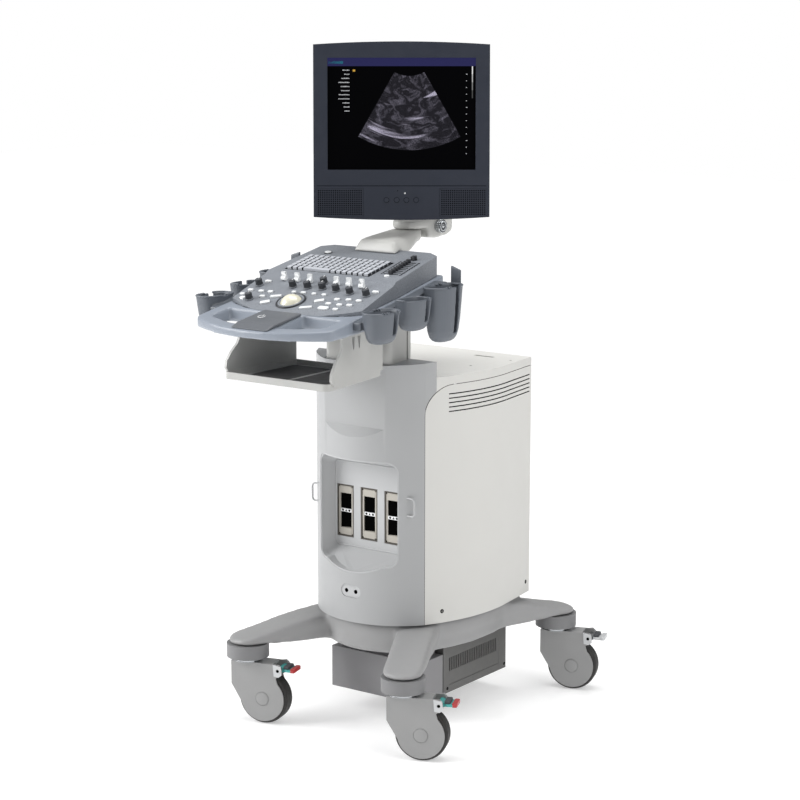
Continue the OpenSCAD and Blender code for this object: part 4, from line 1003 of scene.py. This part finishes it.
def knob_trim(k):
    """Cap, pointer, ribs and foot ring of a rotary knob."""
    place = deck_place(f"knob_{k}_turn")
    top = extent(f"knob_{k}", place)[1].z
    knob = Shape()
    knob.lathe([(0.0, top + HAIR), (0.0045, top + HAIR), (0.0055, top - 0.0006)], place, 24)
    pointer = rounded_rect(0.0011, 0.0055, 0.0005, 2)
    knob.slab(pointer, top, top + 0.0006, place @ at(0, 0.0035, 0), 1)
    ribs = 16
    rib = rounded_rect(0.0012, 0.0011, 0.0004, 2)
    for i in range(ribs):
        knob.slab(rib, 0.0045, top - 0.0012, place @ spin(i, ribs) @ at(0.0066, 0, 0))
    ring = [(0.0083, 0.0004), (0.0086, 0.0010), (0.0086, 0.0022), (0.0080, 0.0028)]
    knob.lathe(ring, place, 32, 2)
    finishes = ["knob_charcoal", "mark_white", "console_grey"]
    knob.piece(f"knob_{k}_trim", f"knob_{k}", finishes, "knob_charcoal")


def slider_scales(trim, keys, low, high):
    """A channel with ticks on both sides for each of the gain sliders."""
    count, ticks = 8, 5
    step = (high.y - low.y - 0.006) / (count - 1)
    for k in range(count):
        y = low.y + 0.003 + step * k
        x = (low.x + high.x) / 2 + 0.0028 - 0.0008 * k
        trim.slab(rounded_rect(0.036, 0.0022, 0.001, 2), -0.0003, 0.0003, keys @ at(x, y, 0))
        for i in range(ticks):
            offset = i - ticks // 2
            for shift, length in ((0.024, 0.0035 if offset else 0.006), (-0.022, 0.0030)):
                tick = keys @ at(x + shift, y + offset * step / ticks, 0)
                trim.slab(rounded_rect(length, 0.0005, 0.0002, 1), -0.0003, HAIR, tick)


def deck_trim():
    """Trackball ring, slider scales, lobed dial and two small buttons of the deck."""
    trim = Shape()
    deck = deck_place("knob_5_turn")
    ball = deck.inverted() @ joint_place("ball_roll")[0]
    ring = [(0.0272, 0.0018), (0.0278, 0.0026), (0.0302, 0.0026), (0.0312, 0.0016), (0.0315, 0.0)]
    trim.lathe(ring, deck @ at(ball.x, ball.y, 0), 48)
    keys = key_place()
    low, high = extent("gain_sliders", keys)
    slider_scales(trim, keys, low, high)
    lobes, steps, radius, swing = 5, 40, 0.0058, 0.0016
    outline = []
    for i in range(steps):
        a = 2 * pi * i / steps
        r = radius + swing * cos(lobes * a)
        outline.append((r * cos(a), r * sin(a)))
    dial = keys @ at(low.x + 0.005, high.y + 0.016, 0)
    trim.slab(outline, -0.0005, 0.008, dial, 0, 0.001)
    near_sliders = keys @ at(high.x - 0.004, low.y - 0.012, 0)
    trim.slab(rounded_rect(0.011, 0.007, 0.003), -0.0005, 0.0028, near_sliders, 1, 0.0008)
    at_left = keys @ at(-0.102 - keys.translation.x, high.y + 0.014, 0)
    trim.slab(rounded_rect(0.018, 0.013, 0.0062), -0.0005, 0.0006, at_left)
    trim.slab(rounded_rect(0.015, 0.010, 0.0048), -0.0005, 0.0026, at_left, 1, 0.0008)
    trim.piece("deck_trim", "lift", ["slider_dark", "key_white"], "slider_dark")


def shaded_tray_mats():
    """Dark mats in the two shallow pockets of the tray, partly painted shade of the pockets."""
    floor = levels("tray_bracket")[1]
    pocket = [p for p in corners("tray_bracket") if round(p.z, 4) == floor and p.x > 0]
    x0, x1 = min(p.x for p in pocket), max(p.x for p in pocket)
    y0, y1 = min(p.y for p in pocket), max(p.y for p in pocket)
    play = 0.001
    outline = rounded_rect(x1 - x0 - play, y1 - y0 - play, 0.0095)
    mats = Shape()
    for side in SIDES:
        mats.slab(outline, 0, 0.0012, at(side * (x0 + x1) / 2, (y0 + y1) / 2, floor), 0, 0.0003)
    mats.piece("shaded_tray_mats", "lift", ["shaded_tray_mat"], "tray_beige")


def standby_mark():
    """An open ring and a bar on the palm rest."""
    low, high = extent("palm_rest")
    middle = Vector(((low.x + high.x) / 2 - 0.004, low.y + 0.046, high.z - 0.0035))
    slope = facing((0, -0.17, 1), middle)
    radius, line, steps = 0.0072, 0.0006, 24
    turns = [radians(38 + 284 * i / steps) for i in range(steps + 1)]
    mark = Shape()
    mark.tube([(radius * sin(a), radius * cos(a), 0.0) for a in turns], line, slope, 6)
    mark.tube([(0, 0.002, 0), (0, 0.0095, 0)], line, slope, 6)
    mark.piece("standby_mark", "lift", ["mark_white"], "palm_grey")


class CART_OT_deck_trim(Operator):
    """Knob pointers, trackball ring, slider scales, dark tray mats that are partly painted shade, and small
    controls of the console
    """

    bl_idname = "cart.deck_trim"
    bl_label = "Deck Trim"

    def execute(self, context):
        for k in range(1, 10):
            knob_trim(k)
        deck_trim()
        shaded_tray_mats()
        standby_mark()
        return {"FINISHED"}


class CART_OT_arm_trim(Operator):
    """Ribs and cap of the locking knob on the arm"""

    bl_idname = "cart.arm_trim"
    bl_label = "Arm Trim"

    def execute(self, context):
        centre, axis = joint_place("arm_knob_turn")
        backward = -FRONTWARD
        place = frame_from(centre, backward, axis.cross(backward))
        high = extent("arm_knob", place)[1]
        radius, face = high.x, high.z
        grip = Shape()
        ribs = 20
        outline = rounded_rect(0.0016, 0.0022, 0.0007, 2)
        for i in range(ribs):
            rib = place @ spin(i, ribs) @ at(radius, 0, 0)
            grip.slab(outline, face - 0.0105, face - 0.0014, rib, 0, 0.0004)
        ring = ((-0.0022, 0), (-0.0026, 0.0009), (-0.0048, 0.0009), (-0.0052, 0))
        grip.lathe([(radius + r, face + z) for r, z in ring], place, 40)
        cap = ((0.0, 0.0014), (0.0030, 0.0013), (0.0040, 0.0006), (0.0042, 0))
        grip.lathe([(r, face + z) for r, z in cap], place, 32)
        grip.piece("arm_knob_grip", "arm_knob", ["chrome_ring"], "chrome_ring")
        return {"FINISHED"}


# ---------- cabinet and casters ----------


class CART_OT_cable_hooks(Operator):
    """The two wire loops for probe cords at the sides of the front shell"""

    bl_idname = "cart.cable_hooks"
    bl_label = "Cable Hooks"

    def execute(self, context):
        low, high = extent("cable_hooks")
        wire, reach, sunk, bend = 0.0022, 0.0165, 0.004, 0.006
        tall = (high.z - low.z) / 2 - wire
        upper = [(-sunk, tall), (reach - bend, tall), (reach - 0.002, tall - 0.0018), (reach, tall - bend)]
        outline = upper + [(x, -z) for x, z in reversed(upper)]
        hooks = Shape()
        for side in SIDES:
            own = [p for p in corners("cable_hooks") if p.x * side > 0]
            root = min(own, key=lambda p: abs(p.x))
            foot = Vector((root.x, max(p.y for p in own) - 0.004, (low.z + high.z) / 2))
            path = [(foot.x + side * x, foot.y, foot.z + z) for x, z in outline]
            hooks.tube(path, wire, steps=10)
        obj = hooks.piece("cable_hook_wires", "base", ["hook_grey"], "hook_grey", angle=60)
        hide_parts("cable_hooks")
        return {"FINISHED"}


def surface_place(node, start, direction):
    """Where a ray meets a frame piece, with Z out of its surface."""
    hit, point, normal, _ = frame["nodes"][node].ray_cast(start, direction)
    if not hit:
        raise RuntimeError(f"no surface of {node} where its screws belong")
    return facing(normal, point)


def cover_screws(head):
    """Dark screws of the side covers and of the power box, each in its countersink."""
    screws = Shape()

    def screw(place, r):
        sink = [(r * 1.35, 0.0), (r * 1.3, 0.0003), (r * 1.02, 0.0003)]
        screws.lathe(sink, place, 20)
        top = [(0.0, -0.0006), (r * 0.45, -0.0006), (r * 0.5, 0.0008), (r * 0.9, 0.0007), (r, 0.0)]
        screws.lathe(top, place, 20)

    height, outside = 0.252, 0.4
    for side, sign in (("left", -1), ("right", 1)):
        for y in (-0.090, 0.208):
            start = Vector((sign * outside, y, height))
            screw(surface_place(f"side_panel_{side}", start, Vector((-sign, 0, 0))), head)
    low, high = extent("power_box")
    for sign in SIDES:
        for y in (low.y + 0.100, high.y - 0.006):
            screw(facing((sign, 0, 0), Vector((sign * high.x, y, low.z + 0.010))), 0.0026)
    screws.piece("cover_screws", "base", ["line_black"], "chrome_ring")


def socket_keyways():
    """Keyways in the pale band of each socket, flat black shapes as painted shade of their depth, and a small mark
    above it.
    """
    low, high, pitch = sockets()
    keyway = rounded_rect(0.005, 0.0042, 0.001, 2)
    wedge = [(-0.0026, -0.0022), (0.0026, -0.0022), (0, 0.0024)]
    pointer = [(-0.0016, -0.0014), (0.0016, -0.0014), (0, 0.0016)]
    above = (high.z - low.z) / 2 + 0.0075
    details = Shape()
    for k in (-1, 0, 1):
        centre = Vector((k * pitch, low.y + 0.0020, (low.z + high.z) / 2))
        face = facing(FRONTWARD, centre)
        # painted shade: the keyways and the wedge are flat black shapes standing in for openings
        for x in (-0.0085, 0.0085):
            details.slab(keyway, 0, HAIR, face @ at(x, 0, 0))
        details.slab(wedge, 0, HAIR, face)
        details.slab(pointer, 0, 0.0005, face @ at(0, above, -0.0005), 1)
    details.piece("socket_keyways", "base", ["port_black", "collar_grey"], "port_black")


def socket_panel_step():
    """A rounded step around the socket panel, with a dark line inside it."""
    width, foot, head = 0.173, 0.3715, 0.5525
    height = head - foot
    face = facing(FRONTWARD, Vector((0, extent("probe_ports")[0].y + HAIR, (head + foot) / 2)))
    inside = 0.0054
    step = Shape()
    for w, h, corner, radius, sides, slot in (
            (width, height, 0.009, 0.0022, 8, 0),
            (width - inside, height - inside, 0.0065, 0.0006, 6, 1)):
        outline = rounded_rect(w, h, corner, 6)
        step.tube([(x, y, 0) for x, y in outline + outline[:1]], radius, face, sides, slot)
    finishes = ["recess_grey", "collar_grey"]
    step.piece("socket_panel_step", "base", finishes, "recess_grey", angle=60)


def top_cover_slot():
    """Service slot and two screws of the top cover."""
    top = extent("top_cover")[1].z - 0.002
    slot = Shape()
    slot.slab(rounded_rect(0.0485, 0.0085, 0.001, 2), 0, 0.0006, at(0.085, 0.173, top))
    for x, y in ((0.128, 0.057), (0.160, 0.161)):
        slot.lathe([(0.0, 0.0007), (0.0026, 0.0012), (0.0033, 0.0)], at(x, y, top), 20)
    slot.piece("top_cover_slot", "base", ["slot_brown"], "port_black")


def vent_shade_sheets():
    """Dark sheets behind the vents of the side covers and of the power box: painted shade of the inside seen
    through them.
    """
    low, high = extent("power_box")
    upper, upper_at = rounded_rect(0.30, 0.062, 0.004), (0.147, 0.070, 0.693)
    lower, lower_at = rounded_rect(0.21, 0.05, 0.004), (high.x - 0.006, 0.100, low.z + 0.060)
    shade_sheets = Shape()
    for sign in SIDES:
        for outline, (x, y, z) in ((upper, upper_at), (lower, lower_at)):
            shade_sheets.slab(outline, 0, 0.001, facing((sign, 0, 0), Vector((sign * x, y, z))))
    shade_sheets.piece("vent_shade_sheets", "base", ["line_black"], "port_black")


class CART_OT_cabinet_trim(Operator):
    """Screws, dark sheets behind the vents as painted shade, socket details and joints of the cabinet covers"""

    bl_idname = "cart.cabinet_trim"
    bl_label = "Cabinet Trim"

    def execute(self, context):
        cover_screws(context.scene.cart_sizes.screw_head / 2)
        socket_keyways()
        socket_panel_step()
        top_cover_slot()
        vent_shade_sheets()
        return {"FINISHED"}


def add_races(races, corner):
    """Three fine dark lines around the swivel ring of a caster."""
    low, high = levels("caster_stems")[1:3]
    stem, _ = joint_place(f"caster_{corner}_swivel")
    reach = 0.06
    radius = max((p.xy - stem.xy).length for p in corners("caster_stems")
                 if abs(p.z - low) < HAIR and (p.xy - stem.xy).length < reach)
    for z in (low + 0.0012, (low + high) / 2, high - 0.0010):
        band = [(radius - HAIR, z - 0.0006), (radius + HAIR, z - 0.0004),
                (radius + HAIR, z + 0.0004), (radius - HAIR, z + 0.0006)]
        races.lathe(band, at(stem.x, stem.y, 0), 48)


def caster_sides(corner):
    """Hub covers on both sides of a caster, and the brackets that hold its brake lever."""
    place = caster_place(corner)
    side_face = extent(f"caster_{corner}_shell", place)[1].y
    hub = place.inverted() @ joint_place(f"wheel_{corner}_spin")[0]
    pin = place.inverted() @ joint_place(f"brake_{corner}_press")[0]
    cap = [(0.0, 0.0012), (0.0128, 0.0011), (0.0140, 0.0007), (0.0143, 0.0), (0.0150, 0.0),
           (0.0152, 0.0004), (0.0158, 0.0004), (0.0162, 0.0)]
    ear = [(-0.011, 0.013), (0.007, 0.010), (0.009, -0.008), (0.002, -0.014), (-0.009, -0.012)]
    rivet = [(0.0, 0.0022), (0.0030, 0.0022), (0.0034, 0.0012)]
    shell, bracket = Shape(), Shape()
    for side in SIDES:
        outward = Matrix.Rotation(-side * pi / 2, 4, "X")
        shell.lathe(cap, place @ at(hub.x, side * (side_face - 0.0006), hub.z) @ outward, 40)
        foot = place @ at(pin.x, side * (side_face + HAIR), pin.z) @ outward
        bracket.slab(ear, 0, 0.0012, foot)
        bracket.lathe(rivet, foot, 16, 1)
    shell.piece(f"caster_{corner}_hub", f"caster_{corner}", ["caster_grey"], "caster_grey")
    finishes = ["bracket_steel", "line_black"]
    bracket.piece(f"caster_{corner}_bracket", f"caster_{corner}", finishes, "chrome_ring")


def foot_rest(corner):
    """A wider foot rest, a tip and a dark root on the brake lever of a caster."""
    name = f"caster_{corner}_pedal"
    place = caster_place(corner)
    low, high = extent(name, place)
    lever = place @ at(high.x - 0.006, (low.y + high.y) / 2, (low.z + high.z) / 2 + 0.001)
    width = high.y - low.y + 0.002
    pedal = Shape()
    pedal.slab(rounded_rect(0.020, width, 0.003), -0.0025, 0.0025, lever, 0, 0.0008)
    tip, root = lever @ at(0.008, 0, 0), lever @ at(-0.007, 0, 0)
    pedal.slab(rounded_rect(0.010, width + 0.001, 0.003), -0.003, 0.0045, tip, 1, 0.0012)
    pedal.slab(rounded_rect(0.012, width - 0.006, 0.002), 0.0025, 0.0085, root, 2, 0.002)
    lever_finishes = ["pedal_teal", "pedal_red"] if corner[0] == "f" else ["bracket_steel"] * 2
    pedal.piece(f"{name}_rest", BODY_OF[name], [*lever_finishes, "knob_charcoal"], "pedal_teal")


class CART_OT_caster_trim(Operator):
    """Swivel races, hub covers, brake brackets and foot rests of the casters"""

    bl_idname = "cart.caster_trim"
    bl_label = "Caster Trim"

    def execute(self, context):
        races = Shape()
        for corner in CASTERS:
            add_races(races, corner)
            caster_sides(corner)
            foot_rest(corner)
        races.piece("swivel_races", "base", ["line_black"], "chrome_ring")
        return {"FINISHED"}


# ---------- studio ----------


def studio_floor(near_glow, far_glow):
    """A pale, smooth floor that glows more with distance, so that it fades into the light."""
    n = Nodes("studio_floor")
    coords = n.add("ShaderNodeTexCoord", "Object", {})
    reach = n.add("ShaderNodeVectorMath", "Value", {0: coords}, operation="LENGTH")
    near, far = 1.2, 7.0
    pale = n.shade({
        "Base Color": n.blend(n.spread(n.noise(0.6)), (0.87, 0.87, 0.87), (0.90, 0.90, 0.90)),
        "Roughness": n.spread(n.noise(3), 0.09, 0.12),
        "Emission Color": (1, 1, 1, 1),
        "Emission Strength": n.spread(reach, near_glow, far_glow, near, far),
    })
    half = 12.0
    verts = [(-half, -half, 0), (half, -half, 0), (half, half, 0), (-half, half, 0)]
    mesh = new_mesh("studio_floor", verts, [[0, 1, 2, 3]])
    mesh.materials.append(pale)
    obj = new_object("studio_floor", mesh)


def studio_world():
    """White surroundings for the camera, and dimmer ones for everything they light."""
    world = bpy.data.worlds.new("studio")
    world.use_nodes = True
    tree = world.node_tree
    sky = tree.nodes["Background"]
    sky.inputs["Color"].default_value = (1, 1, 1, 1)
    rays = tree.nodes.new("ShaderNodeLightPath")
    level = tree.nodes.new("ShaderNodeMapRange")
    level.inputs["To Min"].default_value = 0.31
    level.inputs["To Max"].default_value = 1.0
    tree.links.new(rays.outputs["Is Camera Ray"], level.inputs["Value"])
    tree.links.new(level.outputs["Result"], sky.inputs["Strength"])
    return world


def studio_camera(stage):
    """The camera, by the stage's settings."""
    camera = bpy.data.cameras.new("camera")
    adjust(camera, lens=stage.lens, sensor_width=36.0, clip_end=100.0)
    turn = (pi / 2 - stage.drop, 0.0, stage.azimuth)
    return adjust(new_object("camera", camera), location=stage.eye, rotation_euler=turn)


def softbox(name, place, size, power):
    """A square soft light aimed at the middle of the cart."""
    lamp = adjust(bpy.data.lights.new(name, "AREA"), size=size, energy=power)
    aim = Vector((0, 0, 0.7)) - Vector(place)
    turn = aim.to_track_quat("-Z", "Y").to_euler()
    adjust(new_object(name, lamp), location=place, rotation_euler=turn)


class CART_OT_stage(Operator):
    """Pale floor, soft studio light and the camera"""

    bl_idname = "cart.stage"
    bl_label = "Studio"

    def execute(self, context):
        scene = context.scene
        stage = scene.cart_stage
        studio_floor(stage.floor_glow, stage.far_glow)
        scene.camera = studio_camera(stage)
        scene.world = studio_world()
        softbox("softbox_key", (-3.0, -2.6, 2.4), 2.6, stage.light * 1.8)
        softbox("softbox_right", (3.4, -0.4, 2.4), 2.2, stage.light * 0.46)
        softbox("softbox_top", (0.2, 0.2, 4.2), 3.0, stage.light * 1.2)
        scene.view_settings.view_transform = "Standard"
        return {"FINISHED"}


# ---------- add-on ----------


class CART_PT_panel(Panel):
    """Lists the pieces and the studio"""

    bl_label = "Ultrasound Cart"
    bl_idname = "CART_PT_panel"
    bl_space_type = "VIEW_3D"
    bl_region_type = "UI"
    bl_category = "Cart"

    def draw(self, context):
        layout = self.layout
        for group in ("cart_colours", "cart_sizes", "cart_stage"):
            settings = getattr(context.scene, group)
            box = layout.box()
            for key in settings.__annotations__:
                box.prop(settings, key)
        for operator in OPERATORS:
            layout.operator(operator.bl_idname)


OPERATORS = (
    CART_OT_frame_finishes,
    CART_OT_two_tone,
    CART_OT_soft_forms,
    CART_OT_display_picture,
    CART_OT_monitor_trim,
    CART_OT_cup_rims,
    CART_OT_deck_trim,
    CART_OT_arm_trim,
    CART_OT_cable_hooks,
    CART_OT_cabinet_trim,
    CART_OT_caster_trim,
    CART_OT_stage,
)
CLASSES = (CartColours, CartSizes, CartStage, *OPERATORS, CART_PT_panel)


def register():
    for cls in CLASSES:
        bpy.utils.register_class(cls)
    bpy.types.Scene.cart_colours = bpy.props.PointerProperty(type=CartColours)
    bpy.types.Scene.cart_sizes = bpy.props.PointerProperty(type=CartSizes)
    bpy.types.Scene.cart_stage = bpy.props.PointerProperty(type=CartStage)


def unregister():
    del bpy.types.Scene.cart_colours
    del bpy.types.Scene.cart_sizes
    del bpy.types.Scene.cart_stage
    for cls in reversed(CLASSES):
        bpy.utils.unregister_class(cls)


def main():
    register()
    for operator in OPERATORS:
        area, name = operator.bl_idname.split(".")
        getattr(getattr(bpy.ops, area), name)()


if __name__ == "__main__":
    main()
